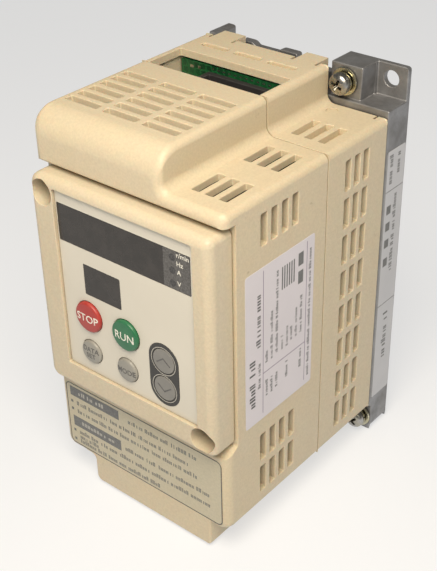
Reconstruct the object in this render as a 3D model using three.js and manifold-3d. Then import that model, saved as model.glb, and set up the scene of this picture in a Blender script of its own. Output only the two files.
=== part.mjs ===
// A compact variable frequency drive: plastic housing on a die-cast heat sink, with a keypad on the front.
// Millimetres. +Z is up, the keypad faces -Y, and the mounting plane of the heat sink is the back (+Y).
// Pieces are placed in a design frame: X = 0 on the housing's centre plane, Y = 0 on the mounting plane,
// Z = 0 on the underside of the housing. The outer group moves that frame to the object's origin,
// which is the centre of the bottom of its bounding box.
import * as THREE from 'three';
import { mergeVertices } from 'three/addons/utils/BufferGeometryUtils.js';
import Module from 'manifold-3d';

const wasm = await Module();
wasm.setup();

// ---------------------------------------------------------------- driving dimensions
const GAP = 0.3; // clearance between two pieces that rest on each other
const SKIN = 0.05; // clearance under a printed label

const HALF_WIDTH = 35;
const SHOULDER_Z = 108; // top of the right-hand shoulder
const HOOD_Z = 119.6; // top of the raised part
const HOOD_RIGHT = 13.4; // right edge of the raised part
const WALL = 2.4;
const EDGE_RADIUS = 2.2;

const CASE_BACK = -11.6; // where the plastic meets the heat sink
const SEAM = -42.4; // joint between rear and front case
const PANEL_Y = -83.4; // front wall behind the keypad unit
const FACE_Y = -88.4; // hood front and lower front face
const HOOD_BOTTOM = 104.1;
const HOOD_FILLET = 8;
const LEDGE_TOP = 30.1;
const LEDGE_BOTTOM = 27.6;
const VERTICAL_RADIUS = 3;
const RISER_RADIUS = 2.6; // inner radius where the hood meets the shoulder
const LIP_RADIUS = 1; // lower front edge of the hood
const LEDGE_RADIUS = 1.5; // where the panel meets the ledge
const FACE_RADIUS = 1.2; // edges of the lower front face
const OVERRUN = 4; // how many walls the hollow runs past the seam, so the front case is open there

const SINK_BOTTOM = -11;
const SINK_LEDGE = 110.1;
const SINK_TOP = 120.6;
const SINK_PLATE = 3;
const EAR_PLATE = 1.9;
const BOSS_Y = -10.2;

const BEZEL = { left: -33.6, right: 33.8, bottom: 31.3, top: 102.5, front: -92.9, plate: 3.1 };
const BEZEL_CORNERS = { topLeft: 4, topRight: 2, bottomLeft: 5, bottomRight: 1.2 };
const RECESS_DEPTH = 1.15; // from the bezel's front to the overlay
const OVERLAY = { left: -23.9, right: 27.45, bottom: 39.8, top: 99.15, thick: 0.4 };
const DISPLAY = { left: -23.7, right: 26.4, bottom: 83.0, top: 95.2 };
const SMALL_WINDOW = { left: -14.9, right: -0.5, bottom: 67.7, top: 77.9 };
const ARROW_PAD = { x: 15.0, z: 52.0, width: 11.2, height: 21.4 };
const ARROW_KEY_OFFSET = 4.8; // from the pad's centre to each arrow key's centre
const KEY_TRAVEL = 0.5;
const BEZEL_SCREWS = [[-28.6, 97.0], [29.2, 35.7]];
const POCKET_RADIUS = 4.1;

const KEYS = [
  { name: 'stop_key', x: -14.1, z: 60.0, radius: 5.05, rise: 1.45, colour: 0xaa3c32 },
  { name: 'run_key', x: 0.8, z: 59.8, radius: 5.05, rise: 1.45, colour: 0x2f6e4b },
  { name: 'data_set_key', x: -14.2, z: 47.3, radius: 3.95, rise: 1.15, colour: 0x96928a },
  { name: 'mode_key', x: 0.4, z: 47.1, radius: 3.95, rise: 1.15, colour: 0x96928a },
  { name: 'up_key', x: ARROW_PAD.x, z: ARROW_PAD.z + ARROW_KEY_OFFSET, radius: 4.05, rise: 0.3, colour: 0x6e6c69 },
  { name: 'down_key', x: ARROW_PAD.x, z: ARROW_PAD.z - ARROW_KEY_OFFSET, radius: 4.05, rise: 0.3, colour: 0x6e6c69 },
];

const DISPLAY_BOARD = { left: -22.6, right: 30.6, bottom: 42.4, top: 99.0, front: -86.0, thick: 1.6 };
const CONTROL_BOARD = { left: -29, right: 29, bottom: 14, top: 98, front: -75.6, thick: 1.6 };
const POWER_BOARD = { left: -32, right: 32, bottom: 6, top: 116.4, front: -27.3, thick: 1.6 };
const BOARD_POSTS = [[-28, 12], [28, 12], [-28, 96], [28, 96]];

const VENT_WIDTH = 2.75;
const VENT_ROW_TOP = 102.4;
const VENT_ROW_PITCH = 12.47;
const VENT_ROWS = 8;
const VENT_HEIGHT = 9.8;
const FRONT_SIDE_VENTS = { rows: [0, 6, 7], count: 4, firstY: -72.9, pitch: 4.7 };
const REAR_SIDE_VENTS = { rows: [...Array(VENT_ROWS).keys()], count: 3, firstY: -33.3, pitch: 4.67 };
const SHOULDER_VENTS = { left: 17.9, pitch: 4.72, length: 11.4, count: 3 };
const SHOULDER_VENT_STARTS = { front: [-80.9, -59.0], rear: -37.0 };
const HOOD_VENTS = { left: -31.9, front: -77.4, width: 12.4, pitchX: 14.73, pitchY: 4.63, columns: 3, rows: 6 };
const BOTTOM_VENTS = { left: -25, pitch: 9, front: -57, back: -46, count: 6 };

// ---------------------------------------------------------------- solids from three.js geometry
function toSolid(geometry) {
  const bare = geometry.clone();
  bare.deleteAttribute('normal');
  bare.deleteAttribute('uv');
  const merged = mergeVertices(bare, 1e-4);
  return new wasm.Manifold(new wasm.Mesh({
    numProp: 3,
    vertProperties: new Float32Array(merged.attributes.position.array),
    triVerts: new Uint32Array(merged.index.array),
  }));
}

function toGeometry(solid) {
  const mesh = solid.getMesh();
  const geometry = new THREE.BufferGeometry();
  geometry.setAttribute('position', new THREE.BufferAttribute(mesh.vertProperties, 3));
  geometry.setIndex(new THREE.BufferAttribute(mesh.triVerts, 1));
  geometry.computeVertexNormals();
  return geometry;
}

function joinAll(solids) {
  return solids.reduce((whole, next) => whole.add(next));
}

function cutAll(solid, cutters) {
  return cutters.reduce((whole, next) => whole.subtract(next), solid);
}

// A closed outline through corners [a, b, radius]. Each corner with a radius becomes an arc.
function outline(corners, stepsPerQuarter = 4) {
  const points = [];
  corners.forEach(([a, b, radius = 0], index) => {
    const corner = new THREE.Vector2(a, b);
    if (radius === 0) {
      points.push(corner);
      return;
    }
    const before = corners[(index + corners.length - 1) % corners.length];
    const after = corners[(index + 1) % corners.length];
    const toBefore = new THREE.Vector2(before[0], before[1]).sub(corner).normalize();
    const toAfter = new THREE.Vector2(after[0], after[1]).sub(corner).normalize();
    const half = Math.acos(THREE.MathUtils.clamp(toBefore.dot(toAfter), -1, 1)) / 2;
    const middle = toBefore.clone().add(toAfter).normalize();
    const centre = corner.clone().addScaledVector(middle, radius / Math.sin(half));
    const start = corner.clone().addScaledVector(toBefore, radius / Math.tan(half)).sub(centre);
    const turn = Math.PI - 2 * half;
    const side = Math.sign(toBefore.cross(toAfter)) || 1;
    const steps = Math.max(1, Math.round((stepsPerQuarter * turn) / (Math.PI / 2)));
    for (let step = 0; step <= steps; step += 1) {
      const spin = (side * turn * step) / steps;
      points.push(start.clone().rotateAround(new THREE.Vector2(), -spin).add(centre));
    }
  });
  return new THREE.Shape(points);
}

function rectangle(left, bottom, right, top, radius = 0, stepsPerQuarter = 4) {
  return outline(
    [[left, bottom, radius], [right, bottom, radius], [right, top, radius], [left, top, radius]],
    stepsPerQuarter,
  );
}

function extrude(shape, depth) {
  return new THREE.ExtrudeGeometry(shape, { depth, bevelEnabled: false, curveSegments: 8 });
}

// A shape in X and Z, running from yFront back to yBack.
function alongY(shape, yFront, yBack) {
  return extrude(shape, yBack - yFront).rotateX(Math.PI / 2).translate(0, yBack, 0);
}

// A shape in Y and Z, running from xLeft to xRight.
function alongX(shape, xLeft, xRight) {
  const turn = new THREE.Matrix4().makeBasis(
    new THREE.Vector3(0, 1, 0),
    new THREE.Vector3(0, 0, 1),
    new THREE.Vector3(1, 0, 0),
  );
  return extrude(shape, xRight - xLeft).applyMatrix4(turn).translate(xLeft, 0, 0);
}

// A shape in X and Y, running from zBottom to zTop.
function alongZ(shape, zBottom, zTop) {
  return extrude(shape, zTop - zBottom).translate(0, 0, zBottom);
}

function box(x0, x1, y0, y1, z0, z1) {
  return new THREE.BoxGeometry(x1 - x0, y1 - y0, z1 - z0)
    .translate((x0 + x1) / 2, (y0 + y1) / 2, (z0 + z1) / 2);
}

function boxSolid(...limits) {
  return toSolid(box(...limits));
}

// A solid of revolution about a line along Y through (x, z). The profile is [radius, y], front to back.
function turnedAboutY(profile, x, z, segments = 24) {
  const points = profile.map(([radius, y]) => new THREE.Vector2(radius, y));
  return new THREE.LatheGeometry(points, segments).translate(x, 0, z);
}

function rod(radius, yFront, yBack, x, z, segments = 24) {
  return turnedAboutY([[0, yFront], [radius, yFront], [radius, yBack], [0, yBack]], x, z, segments);
}

function rodSolid(...sizes) {
  return toSolid(rod(...sizes));
}

// ---------------------------------------------------------------- the object
const drive = new THREE.Group();

const FINISHES = {
  housing: { color: 0xdecda5, roughness: 0.5, metalness: 0 },
  bezel: { color: 0xd9c9a4, roughness: 0.5, metalness: 0 },
  overlay: { color: 0xc1b7a0, roughness: 0.45, metalness: 0 },
  smoke: { color: 0x2b2926, roughness: 0.15, metalness: 0 },
  darkPad: { color: 0x4b4946, roughness: 0.5, metalness: 0 },
  aluminium: { color: 0x969494, roughness: 0.55, metalness: 0.9 },
  label: { color: 0xcdc6c8, roughness: 0.4, metalness: 0 },
  steel: { color: 0xb8b2a0, roughness: 0.3, metalness: 1 },
  board: { color: 0x1d5a34, roughness: 0.5, metalness: 0 },
  black: { color: 0x1c1c1d, roughness: 0.5, metalness: 0 },
  grey: { color: 0x77797b, roughness: 0.5, metalness: 0 },
  blue: { color: 0x2a3f7a, roughness: 0.35, metalness: 0 },
  amber: { color: 0xb5672a, roughness: 0.4, metalness: 0 },
  glass: { color: 0xd8dcd6, roughness: 0.1, metalness: 0 },
  lamp: { color: 0xb03028, roughness: 0.2, metalness: 0 },
};

function addPiece(name, shape, finish) {
  const geometry = shape.isBufferGeometry ? shape : toGeometry(shape);
  const look = typeof finish === 'string' ? FINISHES[finish] : finish;
  const mesh = new THREE.Mesh(geometry, new THREE.MeshStandardMaterial(look));
  mesh.name = name;
  drive.add(mesh);
}

// ---------------------------------------------------------------- housing
// The front view of the housing: a tall left part and a lower right shoulder. inset shrinks it.
function housingOutline(inset) {
  const edge = EDGE_RADIUS - Math.min(inset, EDGE_RADIUS - 0.4);
  return outline([
    [-HALF_WIDTH + inset, inset, edge],
    [HALF_WIDTH - inset, inset, edge],
    [HALF_WIDTH - inset, SHOULDER_Z - inset, edge],
    [HOOD_RIGHT - inset, SHOULDER_Z - inset, RISER_RADIUS],
    [HOOD_RIGHT - inset, HOOD_Z - inset, edge],
    [-HALF_WIDTH + inset, HOOD_Z - inset, edge],
  ], 3);
}

// The side view of the front case, open at the seam. top is the height, fillet the front top radius.
// The hollow (inset > 0) reaches into the hood's overhang only where the hood is tall enough.
function frontProfile(inset, top, fillet) {
  const round = Math.max(fillet - inset, 0.6);
  const lip = HOOD_BOTTOM + inset;
  const overhang = [
    [FACE_Y + inset, top - inset, round],
    [FACE_Y + inset, lip, inset > 0 ? 0 : LIP_RADIUS],
    [PANEL_Y + inset, lip],
  ];
  const plain = [[PANEL_Y + inset, top - inset]];
  return outline([
    [SEAM + inset * OVERRUN, inset],
    [SEAM + inset * OVERRUN, top - inset],
    ...(top - inset > lip + 1 ? overhang : plain),
    [PANEL_Y + inset, LEDGE_TOP - inset * 0.6, LEDGE_RADIUS],
    [FACE_Y + inset, LEDGE_BOTTOM - inset * 0.6, FACE_RADIUS],
    [FACE_Y + inset, inset, FACE_RADIUS],
  ], 4);
}

function frontPlan(inset, right) {
  const round = Math.max(VERTICAL_RADIUS - inset, 0.6);
  return outline([
    [-HALF_WIDTH + inset, SEAM + inset * OVERRUN],
    [-HALF_WIDTH + inset, FACE_Y + inset, round],
    [right - inset, FACE_Y + inset, round],
    [right - inset, SEAM + inset * OVERRUN],
  ], 3);
}

// The filled front case: a tall block and a shoulder block, each rounded in all three views.
function frontBlock(inset) {
  const reach = inset * OVERRUN;
  const view = toSolid(alongY(housingOutline(inset), FACE_Y - 1, SEAM + reach));
  const tall = toSolid(alongX(frontProfile(inset, HOOD_Z, HOOD_FILLET), -HALF_WIDTH - 1, HALF_WIDTH + 1));
  const low = toSolid(alongX(frontProfile(inset, SHOULDER_Z, EDGE_RADIUS), -HALF_WIDTH - 1, HALF_WIDTH + 1));
  const tallPlan = toSolid(alongZ(frontPlan(inset, HOOD_RIGHT), -1, HOOD_Z + 1));
  const lowPlan = toSolid(alongZ(frontPlan(inset, HALF_WIDTH), -1, HOOD_Z + 1));
  return tall.intersect(tallPlan).add(low.intersect(lowPlan)).intersect(view);
}

// Through slots in both side walls, at the given rows and first slot.
function sideVents({ rows, count, firstY, pitch }) {
  const slots = [];
  rows.forEach((row) => {
    const top = VENT_ROW_TOP - row * VENT_ROW_PITCH;
    for (let index = 0; index < count; index += 1) {
      const y = firstY + index * pitch;
      const slot = rectangle(y, top - VENT_HEIGHT, y + VENT_WIDTH, top);
      slots.push(toSolid(alongX(slot, -HALF_WIDTH - 1, -HALF_WIDTH + WALL + 1)));
      slots.push(toSolid(alongX(slot, HALF_WIDTH - WALL - 1, HALF_WIDTH + 1)));
    }
  });
  return slots;
}

// Through slots in the shoulder's top, running along Y.
function shoulderVents(firstY) {
  const { left, pitch, length, count } = SHOULDER_VENTS;
  const slots = [];
  for (let index = 0; index < count; index += 1) {
    const x = left + index * pitch;
    const slot = rectangle(x, firstY, x + VENT_WIDTH, firstY + length);
    slots.push(toSolid(alongZ(slot, SHOULDER_Z - WALL - 1, SHOULDER_Z + 1)));
  }
  return slots;
}

const SKIRT = { left: -21.6, right: 27.6, bottom: -10.1, back: -62, wall: 2.2, radius: 1.6, fillet: 2.4 };
const CABLE_OPENING = { left: -19.2, right: 25.2, front: -85.9, back: -62.2 };
const HARNESS_OPENING = { left: -12, right: 12, bottom: 60, top: 72 };
const BEZEL_BOSS = { radius: 3.8, back: -77.2, bore: 1.7 };

// The cable skirt under the front face: a front wall and two returns around the cable opening.
function skirtSolid() {
  const { left, right, bottom, back, wall, radius, fillet } = SKIRT;
  const apron = outline([
    [left - 4, 0.6],
    [left - 4, 0],
    [left, 0, fillet],
    [left, bottom, radius],
    [right, bottom, radius],
    [right, 0],
    [right, 0.6],
  ]);
  const block = toSolid(alongY(apron, FACE_Y, back));
  const hollow = boxSolid(left + wall, right - wall, FACE_Y + wall, back + 1, bottom - 1, 1);
  const tail = boxSolid(left - 5, left, FACE_Y + wall, back + 1, bottom - 1, 1);
  return block.subtract(hollow).subtract(tail);
}

function hoodVents() {
  const { left, front, width, pitchX, pitchY, columns, rows } = HOOD_VENTS;
  const slots = [];
  for (let column = 0; column < columns; column += 1) {
    for (let row = 0; row < rows; row += 1) {
      const x = left + column * pitchX;
      const y = front + row * pitchY;
      const slot = rectangle(x, y, x + width, y + VENT_WIDTH);
      slots.push(toSolid(alongZ(slot, HOOD_Z - WALL - 1, HOOD_Z + 1)));
    }
  }
  return slots;
}

function bottomVents() {
  const { left, pitch, front, back, count } = BOTTOM_VENTS;
  const slots = [];
  for (let index = 0; index < count; index += 1) {
    const x = left + index * pitch;
    slots.push(toSolid(alongZ(rectangle(x, front, x + VENT_WIDTH, back), -1, WALL + 1)));
  }
  return slots;
}

function frontCase() {
  const shell = frontBlock(0).subtract(frontBlock(WALL)).add(skirtSolid());
  const boss = BEZEL_BOSS;
  const bosses = BEZEL_SCREWS.map(([x, z]) => rodSolid(boss.radius, PANEL_Y + 1, boss.back, x, z, 16));
  const screwHoles = BEZEL_SCREWS.map(([x, z]) => rodSolid(boss.bore, PANEL_Y - 1, boss.back + 1, x, z, 12));
  const harness = panelShape(HARNESS_OPENING, 0, 1);
  const { left, right, front, back } = CABLE_OPENING;
  const cable = rectangle(left, front, right, back, 1, 2);
  return cutAll(joinAll([shell, ...bosses]), [
    ...screwHoles,
    toSolid(alongY(harness, PANEL_Y - 1, PANEL_Y + WALL + 1)),
    toSolid(alongZ(cable, -1, WALL + 1)),
    ...hoodVents(),
    ...bottomVents(),
    ...SHOULDER_VENT_STARTS.front.flatMap(shoulderVents),
    ...sideVents(FRONT_SIDE_VENTS),
  ]);
}

const TOP_WINDOW = { left: -31.8, right: 10.7, back: -27.6 };
const SNAP_TABS = [[-31.2, -21.9], [1.4, 10.2]];
const TAB_BACK = -6.6;
const SLIT = { half: 0.45, front: -14.6, back: -5 };
const SHOULDER_SLIT = { left: 31.2, right: 32, front: -14.4, back: -11 };
const TOP_SLOTS = { left: -28.8, pitch: 13, length: 10.1, front: -21.6, back: -19.4, depth: 1.1, count: 3 };
const REAR_CABLE_OPENING = { left: -26, right: 26, front: -40.6, back: -29 };
const EJECTOR_MARK = { radius: 2, depth: 0.3, x: 18.4, y: -16.8 };

function topSlots() {
  const { left, pitch, length, front, back, depth, count } = TOP_SLOTS;
  const slots = [];
  for (let index = 0; index < count; index += 1) {
    const x = left + index * pitch;
    slots.push(toSolid(alongZ(rectangle(x, front, x + length, back), HOOD_Z - depth, HOOD_Z + 1)));
  }
  return slots;
}

function rearCase() {
  const front = SEAM + GAP;
  const back = CASE_BACK - GAP;
  const hoodWall = [HOOD_Z - WALL - 1, HOOD_Z + 1];
  const outer = toSolid(alongY(housingOutline(0), front, back));
  const inner = toSolid(alongY(housingOutline(WALL), front - 1, back + 1));
  const tabs = SNAP_TABS.map(([left, right]) => boxSolid(left, right, back - 4, TAB_BACK, HOOD_Z - WALL, HOOD_Z));
  const shell = joinAll([outer.subtract(inner), ...tabs]);
  const slits = SNAP_TABS.flat().map((x) => (
    boxSolid(x - SLIT.half, x + SLIT.half, SLIT.front, SLIT.back, ...hoodWall)
  ));
  const { left, right, front: slitFront, back: slitBack } = SHOULDER_SLIT;
  const sideSlit = boxSolid(left, right, slitFront, slitBack, SHOULDER_Z - WALL - 1, SHOULDER_Z + 1);
  const window = boxSolid(TOP_WINDOW.left, TOP_WINDOW.right, front - 1, TOP_WINDOW.back, ...hoodWall);
  const cable = REAR_CABLE_OPENING;
  const cableHole = boxSolid(cable.left, cable.right, cable.front, cable.back, -1, WALL + 1);
  const { radius, depth, x, y } = EJECTOR_MARK;
  const ejectorMark = toSolid(
    new THREE.CylinderGeometry(radius, radius, 2 * depth, 20).rotateX(Math.PI / 2).translate(x, y, SHOULDER_Z),
  );
  return cutAll(shell, [
    ...slits,
    sideSlit,
    window,
    ...topSlots(),
    cableHole,
    ejectorMark,
    ...shoulderVents(SHOULDER_VENT_STARTS.rear),
    ...sideVents(REAR_SIDE_VENTS),
  ]);
}

// ---------------------------------------------------------------- heat sink
const EARTH_SCREWS = [
  { side: 'upper', x: 18.5, z: 115.4 },
  { side: 'lower', x: 30.6, z: -5.6 },
];
const MOUNT_HOLES = [[29.2, 115.9], [-29.2, -5.4]];
const MODULE_SCREWS = [[-18.5, 52.5], [18.5, 52.5]];

const SINK_RIM = 2.6; // thickness of the raised walls that carry the housing
const SINK_WALL_TOP = 107.6;
const EAR_LEFT = 24.4; // where the thin mounting ear begins
const BOSS_LEFT = 13.1;
const BOSS_CORNER = 0.8;
const PRONG = { right: -31.8, bottom: 105, top: 119.4, corner: 1.6 };
const LOWER_BOSS = { left: 25.4, top: 1, corner: 3.4 };
const PEDESTAL = { left: -24, right: 24, bottom: 30, top: 75, front: -13.2 };
const POST = { radius: 3.1, front: -25.4, bore: 1.7, boreEnd: -17 };
const MOUNT_HOLE_RADIUS = 2.6;
const EARTH_HOLE = { radius: 2.3, end: -3.2 };
const MODULE_HOLE = { radius: 1.8, end: -5 };

// The back plate, seen from the front: its top edge steps down between the left prong and the boss.
function sinkPlateOutline() {
  const left = -HALF_WIDTH;
  const notch = [[BOSS_LEFT, 113.6], [-4.8, 113.6, 1]];
  const hooks = [
    [-4.8, 116.3, 1.2],
    [-11.6, 116.3, 1.2],
    [-13.2, 115.0, 0.8],
    [-21.2, 115.0, 0.8],
    [-22.8, 116.2, 1.2],
    [-27.8, 116.2, 1.2],
    [-27.8, 113.0, 1],
  ];
  return outline([
    [left, SINK_BOTTOM, 3],
    [HALF_WIDTH, SINK_BOTTOM, LOWER_BOSS.corner],
    [HALF_WIDTH, SINK_TOP, 1.6],
    [BOSS_LEFT, SINK_TOP, BOSS_CORNER],
    ...notch,
    ...hooks,
    [PRONG.right, 113.0, 0.6],
    [PRONG.right, PRONG.top, PRONG.corner],
    [left, PRONG.top, 0.8],
  ], 3);
}

function heatsinkBase() {
  const side = HALF_WIDTH;
  const plate = toSolid(alongY(sinkPlateOutline(), -SINK_PLATE, 0));
  const wall = (x0, x1, z0, z1) => boxSolid(x0, x1, CASE_BACK, -1, z0, z1);
  const lowerBoss = outline([
    [LOWER_BOSS.left, SINK_BOTTOM, 1],
    [side, SINK_BOTTOM, LOWER_BOSS.corner],
    [side, LOWER_BOSS.top],
    [LOWER_BOSS.left, LOWER_BOSS.top],
  ], 5);
  const upperBoss = outline([
    [BOSS_LEFT, SINK_LEDGE - 1],
    [EAR_LEFT - 0.5, SINK_LEDGE - 1],
    [EAR_LEFT, SINK_TOP, BOSS_CORNER],
    [BOSS_LEFT, SINK_TOP, BOSS_CORNER],
  ]);
  const prong = outline([
    [-side, PRONG.bottom],
    [PRONG.right, PRONG.bottom],
    [PRONG.right, PRONG.top, PRONG.corner],
    [-side, PRONG.top, 0.8],
  ]);
  const { left, right, bottom, top } = PEDESTAL;
  const pedestal = toSolid(alongY(rectangle(left, bottom, right, top, 1.5, 2), PEDESTAL.front, -1));
  const posts = BOARD_POSTS.map(([x, z]) => rodSolid(POST.radius, POST.front, -1, x, z, 16));
  const body = joinAll([
    plate,
    wall(side - SINK_RIM, side, 0, SINK_LEDGE),
    wall(-side, -side + SINK_RIM, 0, SINK_WALL_TOP),
    wall(-side + 1, side - 1, 0, SINK_RIM),
    wall(-side + 1, side - 1, SINK_WALL_TOP - SINK_RIM, SINK_WALL_TOP),
    wall(BOSS_LEFT, side - 0.02, SINK_WALL_TOP - 1.6, SINK_LEDGE),
    ...[lowerBoss, upperBoss, prong].map((shape) => toSolid(alongY(shape, BOSS_Y, -1))),
    pedestal,
    ...posts,
  ]);
  const thinEar = boxSolid(EAR_LEFT, side + 1, -4, -EAR_PLATE, SINK_LEDGE, SINK_TOP + 1);
  const thinFoot = boxSolid(-side - 1, -EAR_LEFT, -4, -EAR_PLATE, SINK_BOTTOM - 1, 0);
  const hole = ({ radius, end }, x, z) => rodSolid(radius, PEDESTAL.front - 1, end, x, z, 16);
  return cutAll(body, [
    thinEar,
    thinFoot,
    ...MOUNT_HOLES.map(([x, z]) => rodSolid(MOUNT_HOLE_RADIUS, -5, 1, x, z, 28)),
    ...EARTH_SCREWS.map(({ x, z }) => hole(EARTH_HOLE, x, z)),
    ...MODULE_SCREWS.map(([x, z]) => hole(MODULE_HOLE, x, z)),
    ...BOARD_POSTS.map(([x, z]) => rodSolid(POST.bore, POST.front - 1, POST.boreEnd, x, z, 12)),
  ]);
}

// A cross-head screw along Y: the head rests on y = seat, the shank runs back from it.
function screw(x, z, seat, head, shankLength, segments) {
  const { radius, height, shank } = head;
  const top = seat - height;
  const body = toSolid(turnedAboutY([
    [0, top],
    [radius * 0.45, top],
    [radius * 0.8, top + height * 0.16],
    [radius, top + height * 0.5],
    [radius, seat],
    [shank, seat],
    [shank, seat + shankLength],
    [0, seat + shankLength],
  ], x, z, segments));
  const arm = radius * 0.5;
  const half = radius * 0.12;
  const depth = top + height * 0.5;
  return body
    .subtract(boxSolid(x - arm, x + arm, top - 1, depth, z - half, z + half))
    .subtract(boxSolid(x - half, x + half, top - 1, depth, z - arm, z + arm));
}

function ring(outer, inner, yFront, yBack, x, z, segments) {
  return rodSolid(outer, yFront, yBack, x, z, segments)
    .subtract(rodSolid(inner, yFront - 1, yBack + 1, x, z, segments));
}

const FLAT_WASHER = { outer: 4.3, inner: 2.2, thick: 0.8 };
const SPRING_WASHER = { outer: 3.3, inner: 2.15, thick: 1.0, split: 0.5 };
const EARTH_SHANK = 8.6;
const M4_HEAD = { radius: 3.4, height: 2.7, shank: 1.9 };
const M3_HEAD = { radius: 2.7, height: 2.1, shank: 1.4 };

function addEarthScrew({ side, x, z }) {
  const flatBack = BOSS_Y - GAP;
  const flatFront = flatBack - FLAT_WASHER.thick;
  const springBack = flatFront - GAP;
  const springFront = springBack - SPRING_WASHER.thick;
  const half = SPRING_WASHER.split / 2;
  const splitRing = ring(SPRING_WASHER.outer, SPRING_WASHER.inner, springFront, springBack, x, z, 18)
    .subtract(boxSolid(x + 1, x + 5, springFront - 1, springBack + 1, z - half, z + half));
  const flatRing = ring(FLAT_WASHER.outer, FLAT_WASHER.inner, flatFront, flatBack, x, z, 20);
  addPiece(`earth_screw_${side}`, screw(x, z, springFront - GAP, M4_HEAD, EARTH_SHANK, 20), 'steel');
  addPiece(`earth_spring_washer_${side}`, splitRing, 'steel');
  addPiece(`earth_flat_washer_${side}`, flatRing, 'steel');
}

// ---------------------------------------------------------------- keypad unit
const OVERLAY_FRONT = BEZEL.front + RECESS_DEPTH;
const OVERLAY_BACK = OVERLAY_FRONT + OVERLAY.thick;
const PLATE_FRONT = OVERLAY_BACK + GAP;
const PLATE_BACK = BEZEL.front + BEZEL.plate;
const BEZEL_FLOOR = 2.2; // material behind each bezel screw head
const BEZEL_RIM = 2.2;
const SCREW_CLEARANCE = 1.7;
const WINDOW_LAP = 0.8; // how far each window film rests on the bezel all round
const KEY_CLEARANCE = 0.25;
const KEY_FLANGE = { reach: 0.5, neck: 0.6, thick: 0.6 };
const STEM_RADIUS = 1.6;
const BEZEL_SHANK = 8;

function keypadBezel() {
  const { left, right, bottom, top, front, plate } = BEZEL;
  const back = PANEL_Y - GAP;
  const { topLeft, topRight, bottomLeft, bottomRight } = BEZEL_CORNERS;
  const face = toSolid(alongY(outline([
    [left, bottom, bottomLeft],
    [right, bottom, bottomRight],
    [right, top, topRight],
    [left, top, topLeft],
  ], 5), front, back));
  const side = toSolid(alongX(outline([
    [back, bottom, 0],
    [back, top, 0],
    [front, top, 2.8],
    [front, bottom, 1.6],
  ], 5), left - 1, right + 1));
  const plan = toSolid(alongZ(outline([
    [left, back],
    [left, front, 2.6],
    [right, front, 2.6],
    [right, back],
  ], 5), bottom - 1, top + 1));
  const rim = BEZEL_RIM;
  const hollow = toSolid(alongY(
    rectangle(left + rim, bottom + rim, right - rim, top - rim, 2, 2),
    front + plate,
    back + 1,
  ));
  const tubes = BEZEL_SCREWS.map(([x, z]) => rodSolid(POCKET_RADIUS + 1.3, front + plate - 0.5, back, x, z, 20));
  const outer = face.intersect(side).intersect(plan);
  const pockets = BEZEL_SCREWS.map(([x, z]) => rodSolid(POCKET_RADIUS, front - 1, back - BEZEL_FLOOR, x, z, 28));
  const shankHoles = BEZEL_SCREWS.map(([x, z]) => rodSolid(SCREW_CLEARANCE, front, back + 1, x, z, 16));
  const recess = toSolid(alongY(
    rectangle(OVERLAY.left - GAP, OVERLAY.bottom - GAP, OVERLAY.right + GAP, OVERLAY.top + GAP, 1, 3),
    front - 1,
    PLATE_FRONT,
  ));
  const through = (shape) => toSolid(alongY(shape, front - 1, front + plate + 1));
  const openings = [
    ...[DISPLAY, SMALL_WINDOW].map((panel) => through(panelShape(panel, -WINDOW_LAP, 0.5, 1))),
    ...KEYS.map(({ x, z, radius }) => rodSolid(radius - 0.3, front - 1, front + plate + 1, x, z, 24)),
  ];
  const body = joinAll([outer.subtract(hollow), ...tubes]).intersect(outer);
  return cutAll(body, [...pockets, ...shankHoles, recess, ...openings]);
}

function arrowPadShape(grow) {
  const { x, z, width, height } = ARROW_PAD;
  return rectangle(
    x - width / 2 - grow, z - height / 2 - grow, x + width / 2 + grow, z + height / 2 + grow,
    width / 2 + grow - 0.05, 5,
  );
}

function panelShape({ left, bottom, right, top }, grow, radius, steps = 2) {
  return rectangle(left - grow, bottom - grow, right + grow, top + grow, radius, steps);
}

function keypadOverlay() {
  const sheet = toSolid(alongY(panelShape(OVERLAY, 0, 0.8), OVERLAY_FRONT, OVERLAY_BACK));
  const cutters = [
    toSolid(alongY(panelShape(DISPLAY, GAP, 0.4), OVERLAY_FRONT - 1, OVERLAY_BACK + 1)),
    toSolid(alongY(panelShape(SMALL_WINDOW, GAP, 0.4), OVERLAY_FRONT - 1, OVERLAY_BACK + 1)),
    toSolid(alongY(arrowPadShape(GAP), OVERLAY_FRONT - 1, OVERLAY_BACK + 1)),
    ...KEYS.slice(0, 4).map(({ x, z, radius }) => (
      rodSolid(radius + KEY_CLEARANCE, OVERLAY_FRONT - 1, OVERLAY_BACK + 1, x, z, 28)
    )),
  ];
  return cutAll(sheet, cutters);
}

function arrowKeySurround() {
  const pad = toSolid(alongY(arrowPadShape(0), OVERLAY_FRONT - 0.15, OVERLAY_BACK));
  const holes = KEYS.slice(4).map(({ x, z, radius }) => (
    rodSolid(radius + KEY_CLEARANCE, OVERLAY_FRONT - 1, OVERLAY_BACK + 1, x, z, 24)
  ));
  return cutAll(pad, holes);
}

const DIGITS = { left: -20.8, right: 14.6, bottom: 84.6, top: 93.6 };
const LAMPS = { x: 20.0, rows: [92.9, 88.9, 84.9], radius: 1.1 };
const SWITCH = { size: 5.6, height: 1.7, plunger: 1.4 };
const BOARD_FRONT = DISPLAY_BOARD.front;

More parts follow.
